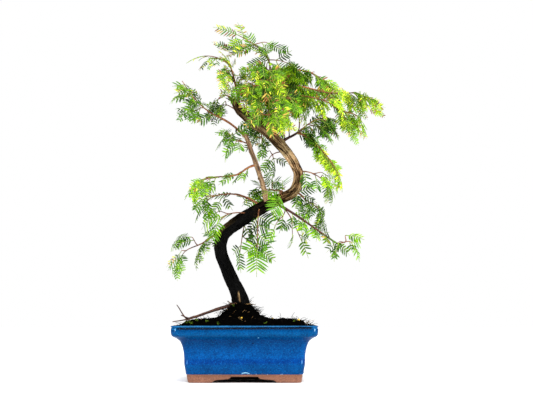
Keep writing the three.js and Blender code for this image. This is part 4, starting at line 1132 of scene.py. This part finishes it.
def shoots_of(seed, plan, bushy):
    """The stem of a mass and its side shoots: the extra ones, then those that leave the first sites
    in turn to the left and the right, and last, by the share bushy, shorter ones on free sites."""
    parent, at, tip, arch, sides, spray, _, extra = plan
    path, radii = limbs[parent]
    tip = np.array(tip, float)
    base = path.at(at or 1.0)
    inside = between(radii, at) if at else -CLEAR
    ahead = path.along(1.0)
    if at:
        ahead = unit(np.array([*(tip - base)[:2], 4.0]))
    start = base if at else base + ahead * CLEAR
    stem = Shoot(seed, reach_out(start, ahead, tip, arch, spray), UP)
    stem.sites = [site for site in stem.sites if site * stem.length > inside + 3]
    plans = []
    for far, share in extra:
        nearest = min(range(len(stem.sites)), key=lambda k: abs(stem.sites[k] - share))
        plans.append((nearest, np.array(far, float), arch * 0.6))
    for k in range(min(sides, len(stem.sites) - 1)):
        spot, along, _ = stem.frame(stem.sites[k + 1])
        across = unit(np.cross(along, UP)) * (-1 if (k + seed) % 2 else 1)
        angle = SHOOT_ANGLE + 0.3 * chance(seed, k)
        reach = stem.length * (0.75 - 0.4 * stem.sites[k + 1]) + spray * 0.5
        far = spot + (along * math.cos(angle) + across * math.sin(angle)) * reach
        far[2] -= reach * (0.1 + 0.25 * chance(seed, k + 40))
        plans.append((k + 1, far, arch * 0.3))
    for k in range(2 * len(stem.sites) if bushy else 0):
        if chance(seed, 300 + k) < bushy:
            spot, along, up = stem.frame(stem.sites[k // 2])
            across = np.cross(along, up) * (-1 if k % 2 else 1)
            angle = SHOOT_ANGLE * 0.8 + 0.4 * chance(seed, 330 + k)
            reach = stem.length * (0.6 - 0.4 * stem.sites[k // 2]) + spray * 0.6
            far = spot + (along * math.cos(angle) + across * math.sin(angle)) * reach
            far[2] -= reach * (0.1 + 0.35 * chance(seed, 360 + k))
            plans.append((k // 2, far, arch * 0.3))
    shoots = [stem]
    for site, far, lift in plans:
        spot, along, up = stem.frame(stem.sites[site])
        outward = unit(far - spot)
        side = 0 if outward @ np.cross(along, up) > 0 else 1
        if (site, side) in stem.held:
            continue
        stem.held.add((site, side))
        heading = unit(outward * 0.7 + along * 0.3)
        shoots.append(Shoot(seed, reach_out(spot, heading, far, lift, spray * 0.8), up))
    return shoots


def spray_at(seed, place, side, share, step, spray, sweep_by, flow):
    """A spray's root, lean, face and length: it faces the way its shoot's upper side does, turned by
    chance, and leans forward from the shoot, more so when swept, and along the flow of its mass. One
    with no side ends the shoot."""
    at, along, up = place
    right = np.cross(along, up)
    face = up + right * (chance(seed, step + 0.1) - 0.5) * 0.7
    face = unit(face + along * (chance(seed, step + 0.2) - 0.5) * 0.5)
    angle = (SHOOT_ANGLE + 0.35 * chance(seed, step + 0.3)) * (1 - 0.45 * sweep_by)
    lean = unit(along + 0.4 * flow)
    size = 1
    if side is not None:
        lean = along * math.cos(angle) + right * math.sin(angle) * (-1 if side else 1)
        lean = unit(lean - UP * 0.2 + flow)
        size = 1.05 - 0.25 * share - 0.25 * chance(seed, step + 0.4)
    across = unit(np.cross(lean, face))
    return at, lean, across, np.cross(across, lean), spray * size


def put(spray, x, y, z):
    """Points of a spray: x along its rib, which bends down along an arc, y across and z over it."""
    root, lean, across, up, curl = spray
    turn = curl * x
    return (
        root
        + lean * (np.sin(turn) / curl + z * np.sin(turn))[..., None]
        + across * y[..., None]
        + up * ((np.cos(turn) - 1) / curl + z * np.cos(turn))[..., None]
    )


# Distance between pairs, half a blade's width and the bare foot of a spray, on a spray of the rule
# and on a small one
PAIR_STEP = (2.7, 2.45)
NEEDLE_HALF = (0.8, 0.62)
BARE_FOOT = (3.0, 1.4)
NEEDLE_STATIONS = np.array([0.0, 0.26, 0.72])
NEEDLE_WIDTHS = np.array([0.45, 1.0, 0.86])
TWIG_STEP = 5.4


def finer(sprays, lengths, sizes, sweeps, keys, flows):
    """The small sprays of finer twigs. A twig takes the place of a spray: its rib is four fifths as
    long, and small sprays leave it in pairs, shorter and narrower towards its end, where one more
    goes on. Returns the same five arrays for the small sprays, and each one's twig and share."""
    reach = lengths * 0.8
    pairs = np.maximum(2, np.round((reach - STALK) / TWIG_STEP)).astype(int)
    each = pairs * 2 + 1
    owner = np.repeat(np.arange(len(lengths)), each)
    rank = np.arange(len(owner)) - np.repeat(np.cumsum(each) - each, each)
    last = rank == each[owner] - 1
    side = np.where(last, 0.0, np.where(rank % 2 == 0, 1.0, -1.0))
    share = np.where(last, 0.97, (rank // 2 + 0.35 + 0.25 * (rank % 2)) / pairs[owner])
    x = STALK * 0.6 + (reach[owner] - STALK * 0.6) * share
    key = keys[owner] * 37.0 + rank
    draws = [chance(41 + 2 * k, key)[:, None] - 0.5 for k in range(5)]
    root, lean, across, up, curl = (v[owner] for v in sprays)
    turn = (curl * x)[:, None]
    at = put((root, lean, across, up, curl), x, 0 * x, 0 * x)
    along = lean * np.cos(turn) - up * np.sin(turn)
    over = lean * np.sin(turn) + up * np.cos(turn)
    angle = ((0.95 - 0.25 * share) * (1 - 0.35 * sweeps[owner]))[:, None] + 0.25 * draws[0]
    angle = np.where(last[:, None], 0, angle)
    heading = along * np.cos(angle) + across * np.sin(angle) * side[:, None] + over * 0.5 * draws[1]
    heading = unit(heading - UP * 0.12 + 0.6 * flows[owner])
    face = over + across * draws[2] * 0.6 + along * draws[3] * 0.4
    sideways = unit(np.cross(heading, face))
    size = lengths[owner] * np.where(last, 0.62, 0.82 - 0.36 * share) * (1 + 0.3 * draws[4][:, 0])
    needle = sizes[owner] * 0.84 * (1 + 0.2 * draws[0][:, 0]) * (1 - 0.2 * share)
    size = np.maximum(size, needle * 0.6 + BARE_FOOT[1] + 3)
    small = (at, heading, sideways, np.cross(sideways, heading), RIB_DROOP / size)
    return small, size, needle, owner, share, key


def needles_on(sprays, lengths, sizes, sweeps, small, slim, seed):
    """The needles of many sprays at once. Each is a flat blade with a keel below, widest past its
    middle, that leaves the rib at 66 degrees near its root and 52 near its end, curves forward and
    droops. A sweep of 1 folds it forward to 30 degrees and out of the spray's plane. Returns points,
    quads, triangles, and each needle's spray, share of the rib and key."""
    ends = lengths - sizes * 0.6
    foot, pitch, width = (np.where(small, pair[1], pair[0]) for pair in (BARE_FOOT, PAIR_STEP, NEEDLE_HALF))
    pairs = np.maximum(2, np.round((ends - foot) / pitch / slim**0.6)).astype(int)
    owner = np.repeat(np.arange(len(lengths)), pairs * 2)
    first = np.repeat(np.cumsum(pairs * 2) - pairs * 2, pairs * 2)
    rank = (np.arange(len(owner)) - first) // 2
    side = np.where((np.arange(len(owner)) - first) % 2 == 0, 1.0, -1.0)
    key = np.arange(len(owner)) + 1000 * seed
    share = (rank + 0.5) / pairs[owner]
    step = ((ends - foot) / pairs)[owner]
    x0 = foot[owner] + step * (rank + 0.5) + 0.5 * (chance(3, key) - 0.5)
    size = sizes[owner] * (0.68 + 1.25 * share - 1.35 * share**2) * (0.9 + 0.2 * chance(5, key))
    fold = sweeps[owner]
    lean = (0.4 + 0.3 * share) * (1 - fold) + 0.85 * fold + 0.16 * (chance(7, key) - 0.5)
    open_out = 0.9 - 0.4 * fold
    lift = 0.16 + (0.3 + 0.5 * fold) * (chance(13, key) - 0.45)
    keep = chance(11, key) > 0.03
    owner, share, x0, size, lean, side, key, open_out, lift = (
        v[keep] for v in (owner, share, x0, size, lean, side, key, open_out, lift)
    )
    u = NEEDLE_STATIONS[None, :]
    x = x0[:, None] + size[:, None] * (lean[:, None] * u + 0.11 * (u * u - u))
    y = side[:, None] * (0.15 + size[:, None] * open_out[:, None] * u)
    z = -size[:, None] * lift[:, None] * u**1.6
    dx = lean[:, None] + 0.11 * (2 * u - 1)
    dy = side[:, None] * open_out[:, None] + 0 * u
    reach = np.hypot(dx, dy)
    half = slim * width[owner][:, None] * NEEDLE_WIDTHS[None, :] * (0.88 + 0.2 * chance(17, key))[:, None] / reach
    spray = [v[owner][:, None] for v in sprays[:4]] + [sprays[4][owner][:, None]]
    tilt = 0.35 * (chance(19, key)[:, None] - 0.5)
    edge_a = put(spray, x - dy * half, y + dx * half, z + half * tilt)
    edge_b = put(spray, x + dy * half, y - dx * half, z - half * tilt)
    keel = put(spray, x, y, z - 0.22 * NEEDLE_WIDTHS[None, :])
    one = np.ones(len(owner))
    flat = [v[owner] for v in sprays[:4]] + [sprays[4][owner]]
    tip = put(flat, x0 + size * lean, side * (0.15 + size * open_out) * one, -size * lift)
    bars = np.stack([edge_a, edge_b, keel], 2).reshape(len(owner), -1, 3)
    points = np.concatenate([bars, tip[:, None]], 1)
    quads = []
    for k in range(len(NEEDLE_STATIONS) - 1):
        a, b, c = 3 * k, 3 * k + 1, 3 * k + 2
        quads += [(a, a + 3, b + 3, b), (b, b + 3, c + 3, c), (c, c + 3, a + 3, a)]
    quads = np.array(quads)
    end = bars.shape[1]
    triangles = np.array([(end - 2, end - 3, end), (end - 1, end - 2, end), (end - 3, end - 1, end), (0, 1, 2)])
    base = (end + 1) * np.arange(len(owner))[:, None, None]
    quads, triangles = (quads + base).reshape(-1, 4), (triangles + base).reshape(-1, 3)
    return points.reshape(-1, 3), quads, triangles, owner, share, key


# Needle blades: soft green leaf with a waxy sheen. New growth is lime, old growth deep green, and
# some blades have begun to turn straw and bronze. The greens that a mass takes are also painted
# light and shade: darker for the masses at the back of the crown and inside it and for the one
# under its right side, lighter for those on the right and the tail.
TONES = ["#183204", "#2E5606", "#4E8008", "#78A80C", "#A2C814", "#D0DC3C", "#C2A248", "#8A5E30"]
needle_coats = []
for number, code in enumerate(TONES):
    made, tree, shader = coat(
        f"needle_{number}", {"Base Color": srgb(code), "IOR": 1.45, "Specular IOR Level": 0.2}
    )
    place = add(tree, "TexCoord").outputs["Object"]
    wax = add(tree, "TexNoise", {"Vector": place, "Scale": 260, "Detail": 2}).outputs["Fac"]
    tree.links.new(add(tree, "MapRange", {0: wax, 3: 0.38, 4: 0.62}).outputs[0], shader.inputs["Roughness"])
    needle_coats.append(made)
shoot_coats = [
    bough_coat("red_shoot", "#3A1E14", "#704428", "#9C6840"),
    bough_coat("green_rib", "#4C6A20", "#7C9A34", "#A9B850"),
]
# group: masses, and for each the level of its greens from 0, darkest, to 5, the share of blades
# that turn straw or bronze, the number of sprays between two sites, how far its sprays and blades
# are swept forward, and the size of its sprays beside the rule's. The levels are partly painted
# light and shade: low at the back of the crown, inside it and under its right side, high on the
# right and the tail.
GROUPS = {
    "crown_top": {"apex": (2.5, 0.2, 0, 0.2, 1.05), "top_left": (2.6, 0.5, 0, 0.2, 0.85),
                  "crown_top": (2.8, 0.3, 2, 0.3, 0.95), "crown_top_left": (2.9, 0.32, 2, 0.3, 0.78),
                  "crown_left": (2.2, 0.2, 3, 0.3, 0.85)},
    "crown_front": {"crown_front": (2.8, 0.34, 3, 0.3, 0.85), "crown_middle": (2.7, 0.2, 3, 0.3, 0.85),
                    "front": (2.9, 0.32, 3, 0.25, 0.9)},
    "crown_right": {"shoulder": (3.4, 0.08, 2, 0.6, 0.9), "right_tip": (4.0, 0.16, 1, 0.7, 0.85),
                    "cascade": (4.2, 0.1, 2, 0.7, 0.8), "right_under": (1.4, 0.08, 3, 0.5, 0.85),
                    "tail": (5.4, 0.05, 2, 0.7, 0.62)},
    "crown_back": {"back": (1.5, 0.06, 1, 0.3, 0.9), "back_left": (1.6, 0.08, 1, 0.3, 0.9),
                   "back_high": (1.9, 0.06, 1, 0.3, 0.9), "centre": (1.0, 0.04, 1, 0.2, 0.9),
                   "inner": (1.9, 0.04, 1, 0.1, 1)},
    "left": {"left_high": (2.4, 0.1, 0, 0.1, 1), "hanging": (2.4, 0.05, 0, 0.1, 1),
             "left_middle": (2.6, 0.05, 0, 0.3, 1.0), "left_low": (2.2, 0.03, 0, 0.2, 1.05),
             "left_fan": (2.7, 0, 0, 0, 1), "left_bottom": (2.3, 0.02, 0, 0.2, 1.05)},
    "low": {"right_low": (2.7, 0.05, 0, 0.2, 1), "right_back": (2.4, 0.04, 0, 0.1, 1),
            "right_long": (2.7, 0.08, 1, 0.1, 0.9), "back_low": (2.2, 0.04, 1, 0.1, 1),
            "under_left": (2.2, 0, 0, 0, 1), "under_right": (2.5, 0.02, 0, 0.1, 1),
            "under_back": (2.2, 0.02, 0, 0, 1), "front_low": (2.8, 0, 0, 0, 1)},
}
# Share of the free sites of a stem that hold a side shoot
BUSHY = {"apex": 0.3, "crown_top": 0.7, "crown_top_left": 0.5, "crown_left": 0.8, "crown_front": 0.8,
         "crown_middle": 0.8, "front": 0.7, "shoulder": 0.5, "right_tip": 0.4, "cascade": 0.6,
         "right_under": 0.4, "back": 0.6, "back_left": 0.6, "back_high": 0.6, "left_middle": 0.2,
         "left_low": 0.25, "left_bottom": 0.2, "right_low": 0.5, "right_back": 0.3, "left_high": 0.15,
         "hanging": 0.4, "centre": 0.3, "inner": 0.5, "back_low": 0.5, "right_long": 0.5}
# Share of the sprays that are twigs with small sprays of their own
FINE = {"apex": 0.2, "top_left": 0.4, "crown_top": 0.45, "crown_top_left": 0.5, "crown_left": 0.4,
        "crown_front": 0.4, "crown_middle": 0.45, "front": 0.35, "shoulder": 0.5, "right_tip": 0.5,
        "cascade": 0.55, "right_under": 0.5, "tail": 0.4, "back": 0.5, "back_left": 0.5,
        "back_high": 0.5, "centre": 0.2, "left_middle": 0.3, "left_low": 0.25, "left_bottom": 0.25,
        "right_low": 0.3, "right_back": 0.2, "right_long": 0.1, "left_high": 0.3, "hanging": 0.2}
# Boughs that bear sprays of their own beside a mass, from that share of their length on
DRESSED = {"shoulder": {"shoulder_bough": 0.1, "right_bough": 0.25}, "cascade": {"front_right_bough": 0.3},
           "apex": {"leader_bough": 0.55}, "right_under": {"twiggy_bough": 0.75, "tail_bough": 0.2},
           "right_long": {"right_long_bough": 0.3}, "left_middle": {"left_middle_bough": 0.35},
           "left_low": {"left_low_bough": 0.4}, "left_bottom": {"left_bottom_bough": 0.3},
           "right_back": {"right_back_bough": 0.4}, "top_left": {"top_left_bough": 0.4},
           "back_high": {"back_high_bough": 0.2}, "crown_top_left": {"top_left_bough": 0.08}}
# Which way the sprays of a mass hang over, beside the way that they leave their shoot
FLOW = {"crown_front": (0.5, -0.2, -0.7), "crown_middle": (0.7, -0.2, -0.6), "front": (0.3, -0.2, -0.8),
        "crown_top": (0.5, -0.1, -0.4), "crown_top_left": (0.5, -0.2, -0.5), "crown_left": (-0.4, 0, -0.5),
        "shoulder": (0.8, 0, -0.5), "right_tip": (0.8, 0, -0.5), "cascade": (0.8, 0, -0.6),
        "right_under": (0.6, -0.1, -0.05), "tail": (0.3, 0, -0.8), "apex": (0.0, 0, -0.1)}
# Where a mass is open so that the trunk shows: none of its sprays ends below a plane, which is given
# by its upward normal and its height
OPEN = {"crown_front": ((1.1, 0, 1), 281), "front": ((1.1, 0, 1), 285), "crown_middle": ((1.1, 0, 1), 285),
        "right_low": ((1, 0, 0), 62), "shoulder": ((-0.755, 0, -1), -408),
        "left_fan": ((-1, 0, 0), 24), "front_low": ((-1, 0, 0), -46),
        "apex": ((-0.5, 0, -1), -394), "left_high": ((-1.19, 0, -1), -258), "crown_top_left": ((0.58, 0, 1), 294),
        "top_left": ((0.58, 0, 1), 300), "back_left": ((0, 0, -1), -314)}
# Share of the sprays that a mass has shed
SHED = {"top_left": 0.45, "crown_top_left": 0.3, "cascade": 0.56, "left_low": 0.7, "left_fan": 0.35,
        "left_bottom": 0.66, "right_low": 0.72, "right_back": 0.42, "right_long": 0.3, "under_left": 0.15,
        "under_right": 0.58, "under_back": 0.5, "left_middle": 0.35}
# Masses whose sprays are broad fans. The needles of all others are shorter.
BROAD = ("left_fan", "under_left", "front_low")
SHORTER = 0.76
RIB_STATIONS = 5
STEM_STATIONS = 26
seeds = {name: k + 1 for k, name in enumerate(MASSES)}
for group, members in GROUPS.items():
    sprays, levels, golds, sweeps, fine, stems, flows = [], [], [], [], [], [], []
    varied = 2.9 if group.startswith("crown") else 1.6
    for name, (level, gold, thick, sweep_by, scale) in members.items():
        seed = seeds[name]
        plan = MASSES[name]
        spray_reach, needle_length = plan[5:7]
        shoots = shoots_of(seed, plan, BUSHY.get(name, 0.0))
        normal, least = OPEN.get(name, (UP, 0))
        shoots = [
            shoot if shoot.path.at(1.0) @ normal > least or shoot is shoots[0] else None
            for shoot in shoots
        ]
        for rank, shoot in enumerate(shoots):
            if shoot:
                stems.append((shoot.path.at(np.linspace(0.0, 1, STEM_STATIONS)), rank > 0))
        for limb, begin in DRESSED.get(name, {}).items():
            dressed = Shoot(seed + 50, limbs[limb][0], UP)
            dressed.sites = list(np.arange(begin, 0.99, 9 / dressed.length))
            shoots.append(dressed)
        for rank, shoot in enumerate(shoots):
            if not shoot:
                continue
            wanted = [(None, 1.0, 100 * rank, 0.0)]
            for i, here in enumerate(reversed(range(len(shoot.sites)))):
                site = shoot.sites[here]
                for side in (0, 1):
                    step = 100 * rank + 4 * i + side + 1
                    if (here, side) not in shoot.held:
                        wanted.append((side, site, step, 0.0))
                    for k in range(thick):
                        on = site + (k + 1 + 0.3 * side) / (thick + 1.3) * SITE_STEP / shoot.length
                        if on < 0.98:
                            wanted.append((side, on, step + 51.5 + 0.017 * k, 2.2))
            for side, site, step, roll in wanted:
                at, along, up = shoot.frame(site)
                up = turned(up, along, roll * (chance(seed, step + 0.6) - 0.5))
                flow = np.array(FLOW.get(name, (0, 0, 0)), float)
                made = spray_at(
                    seed, (at, along, up), side, site, step, spray_reach * scale, sweep_by, flow
                )
                far = made[0] + made[1] * made[4] * 0.8
                shed = side is not None and chance(seed, step + 0.95) < SHED.get(name, 0)
                if shed or far @ normal < least + 10 * chance(seed, step + 0.9):
                    continue
                flows.append(flow)
                shorter = 1 if name in BROAD else SHORTER
                sprays.append((*made, needle_length * (0.4 + 0.6 * scale) * shorter))
                sweeps.append(sweep_by)
                fine.append(chance(seed, step + 0.8) < FINE.get(name, 0.0))
                outer = site if rank == 0 else 0.5 + 0.5 * site
                levels.append(level - 0.7 + 1.4 * (outer - 0.6) + varied * (chance(seed, step + 0.7) - 0.5))
                golds.append(gold * (1.8 if outer > 0.8 else 0.7))
    root, lean, across, up = (np.array([s[k] for s in sprays]) for k in range(4))
    length, needle = (np.array([s[k] for s in sprays]) for k in (4, 5))
    levels, golds, fine = np.array(levels), np.array(golds), np.array(fine)
    curl = RIB_DROOP * np.where(fine, 1.7, 1) / length
    sweeps = np.array(sweeps)
    whole = (root, lean, across, up, curl)
    small, size, blade, twig, on, keys = finer(*[
        [v[fine] for v in whole], length[fine], needle[fine], sweeps[fine],
        np.flatnonzero(fine) + 500.0 * len(group), np.array(flows)[fine],
    ])
    plain = [np.concatenate([v[~fine], w]) for v, w in zip(whole, small)]
    spray_length = np.concatenate([length[~fine], size])
    spray_needle = np.concatenate([needle[~fine], blade])
    spray_sweep = np.concatenate([sweeps[~fine], sweeps[fine][twig]])
    finer_level = levels[fine][twig] + 0.9 * (on - 0.5) + 1.1 * (chance(53, keys) - 0.5)
    spray_level = np.concatenate([levels[~fine], finer_level])
    spray_gold = np.concatenate([golds[~fine], golds[fine][twig] * (0.4 + 1.8 * (chance(59, keys) > 0.6))])
    points, quads, triangles, owner, share, key = needles_on(
        plain, spray_length, spray_needle, spray_sweep, np.arange(len(spray_level)) >= (~fine).sum(),
        1.04 if group.startswith("crown") else 1.25, len(group)
    )
    level = spray_level[owner] + 0.5 * (chance(23, key) - 0.5) + 0.7 * (share - 0.5)
    level = np.clip(level, 0, 4.99)
    faded = chance(61, owner + 7.0 * seeds[name]) < spray_gold[owner] * 1.3
    turning = faded & (chance(29, key) < 0.15 + 0.85 * share**2)
    straw = (5.4 + 2.5 * chance(31, key)).astype(int)
    base = np.where(turning & (chance(67, key) < 0.35), straw, level.astype(int))
    bright = np.where(turning, straw, np.minimum(base + (chance(37, key) < 0.35), 5))
    quad_tone = np.repeat(np.stack([base, bright], 1), 3, axis=1).reshape(-1)
    tri_tone = np.stack([bright, bright, bright, base], 1).reshape(-1)
    piece(
        f"needles_{group}",
        points,
        [quads, triangles],
        needle_coats,
        stands_for=[f"{name}_mass" for name in members],
        coat_of=np.concatenate([quad_tone, tri_tone]),
        smooth=False,
    )
    main_length = np.where(fine, length * 0.8, length)
    ribs = []
    for spray, rib_length, radius in ((whole, main_length, 0.5), (small, size, 0.3)):
        along_rib = np.linspace(0.0, 1, RIB_STATIONS)[None, :] * rib_length[:, None]
        ribs.append(put([v[:, None] for v in spray], along_rib, 0 * along_rib, 0 * along_rib))
        ribs.append(np.linspace(radius, 0.4 * radius, RIB_STATIONS)[None, :] * np.ones((len(rib_length), 1)))
    rib_mesh = tubes(np.concatenate(ribs[::2]), np.concatenate(ribs[1::2]), 4)
    rows = np.array([row for row, _ in stems])
    thick = np.array([[0.85, 0.4] if not is_side else [0.62, 0.36] for _, is_side in stems])
    bars = thick[:, :1] + (thick[:, 1:] - thick[:, :1]) * np.linspace(0, 1, STEM_STATIONS)[None]
    stem_mesh = tubes(rows, bars, 7)
    offset = len(rib_mesh[0])
    shift_by = [offset + face for face in stem_mesh[1:]]
    counts = [len(face) for face in rib_mesh[1:]] + [len(face) for face in shift_by]
    total = np.vstack([rib_mesh[0], stem_mesh[0]])
    rib_depth = np.clip(0.5 + 0.4 * grain(total, 3.0, 21), 0, 1)
    piece(
        f"shoots_{group}",
        total,
        [*rib_mesh[1:], *shift_by],
        shoot_coats,
        coat_of=np.repeat([1, 1, 1, 0, 0, 0], counts),
        marks={"depth": rib_depth},
    )

# Floor and light
# A white table that runs on to the back, under a large soft tent, with two tall soft boxes whose
# reflections stand on the corners of the pot; on the wall's corners they are painted into the glaze
# as well. Round the pot the table glows: painted light that washes out the pot's shadows beside it.
paper, tree, shader = coat(
    "table_paper", {"Base Color": srgb("#FCFCFC"), "Roughness": 0.9, "Emission Color": srgb("#FFFFFF")}
)
# The paper glows all round the pot but not under it: painted light that washes out the pot's
# shadows beside it and leaves the shade under the pot.
place = add(tree, "TexCoord").outputs["Object"]
apart = add(tree, "VectorMath", {0: place, 1: tuple(POT_MIDDLE)}, operation="SUBTRACT").outputs[0]
sideways = add(tree, "VectorMath", {0: apart}, operation="ABSOLUTE").outputs[0]
across = add(tree, "SeparateXYZ", {0: sideways}).outputs["X"]
beside = add(tree, "MapRange", {0: across, 1: 0.059, 2: 0.065}).outputs[0]
away = add(tree, "VectorMath", {0: apart}, operation="LENGTH").outputs["Value"]
beyond = add(tree, "MapRange", {0: away, 1: 0.06, 2: 0.08}).outputs[0]
shown = add(tree, "Math", {0: beside, 1: beyond}, operation="MAXIMUM").outputs[0]
tree.links.new(add(tree, "MapRange", {0: shown, 4: 0.42}).outputs[0], shader.inputs["Emission Strength"])
size = 6.0
mesh = bpy.data.meshes.new("table")
mesh.from_pydata([(-size, -size, 0), (size, -size, 0), (size, size, 0), (-size, size, 0)], [], [(0, 1, 2, 3)])
mesh.materials.append(paper)
table = bpy.data.objects.new("table", mesh)
bpy.context.collection.objects.link(table)
table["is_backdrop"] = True

world = bpy.data.worlds.new("tent")
world.use_nodes = True
tree = world.node_tree
# The tent is as white as paper behind the tree, and gives a weaker light of its own.
paths = add(tree, "LightPath").outputs
dim = add(tree, "MapRange", {0: paths["Is Glossy Ray"], 3: 0.28, 4: 0.08}).outputs[0]
glow = add(tree, "MapRange", {0: paths["Is Camera Ray"], 3: dim, 4: 1.0}).outputs[0]
tree.links.new(glow, tree.nodes["Background"].inputs["Strength"])
tree.nodes["Background"].inputs["Color"].default_value = (1, 1, 1, 1)
bpy.context.scene.world = world
bpy.context.scene.view_settings.view_transform = "Standard"

sun = bpy.data.lights.new("flash_tent", "SUN")
sun.energy = 3.1
sun.angle = math.radians(32)
holder = bpy.data.objects.new("flash_tent", sun)
holder.rotation_euler = (math.radians(38), 0, math.radians(6))
bpy.context.collection.objects.link(holder)

# name: spot, the point it faces, width, height, watts
LAMPS = {
    "left_box": ((-0.75, -0.35, 0.25), (0.0, 0.0, 0.1), 0.06, 0.7, 3.5),
    "right_box": ((0.8, -0.5, 0.3), (0.0, 0.0, 0.15), 0.09, 0.7, 9),
}
for name, (spot, target, width, tall, watts) in LAMPS.items():
    lamp = bpy.data.lights.new(name, "AREA")
    lamp.shape = "RECTANGLE"
    lamp.size, lamp.size_y, lamp.energy = width, tall, watts
    holder = bpy.data.objects.new(name, lamp)
    holder.location = spot
    aim = Vector(target) - Vector(spot)
    holder.rotation_euler = aim.to_track_quat("-Z", "Y").to_euler()
    bpy.context.collection.objects.link(holder)

seen_low, seen_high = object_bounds()
sizes = {"cad": [list(cad_low), list(cad_high)], "visual": [list(seen_low), list(seen_high)]}
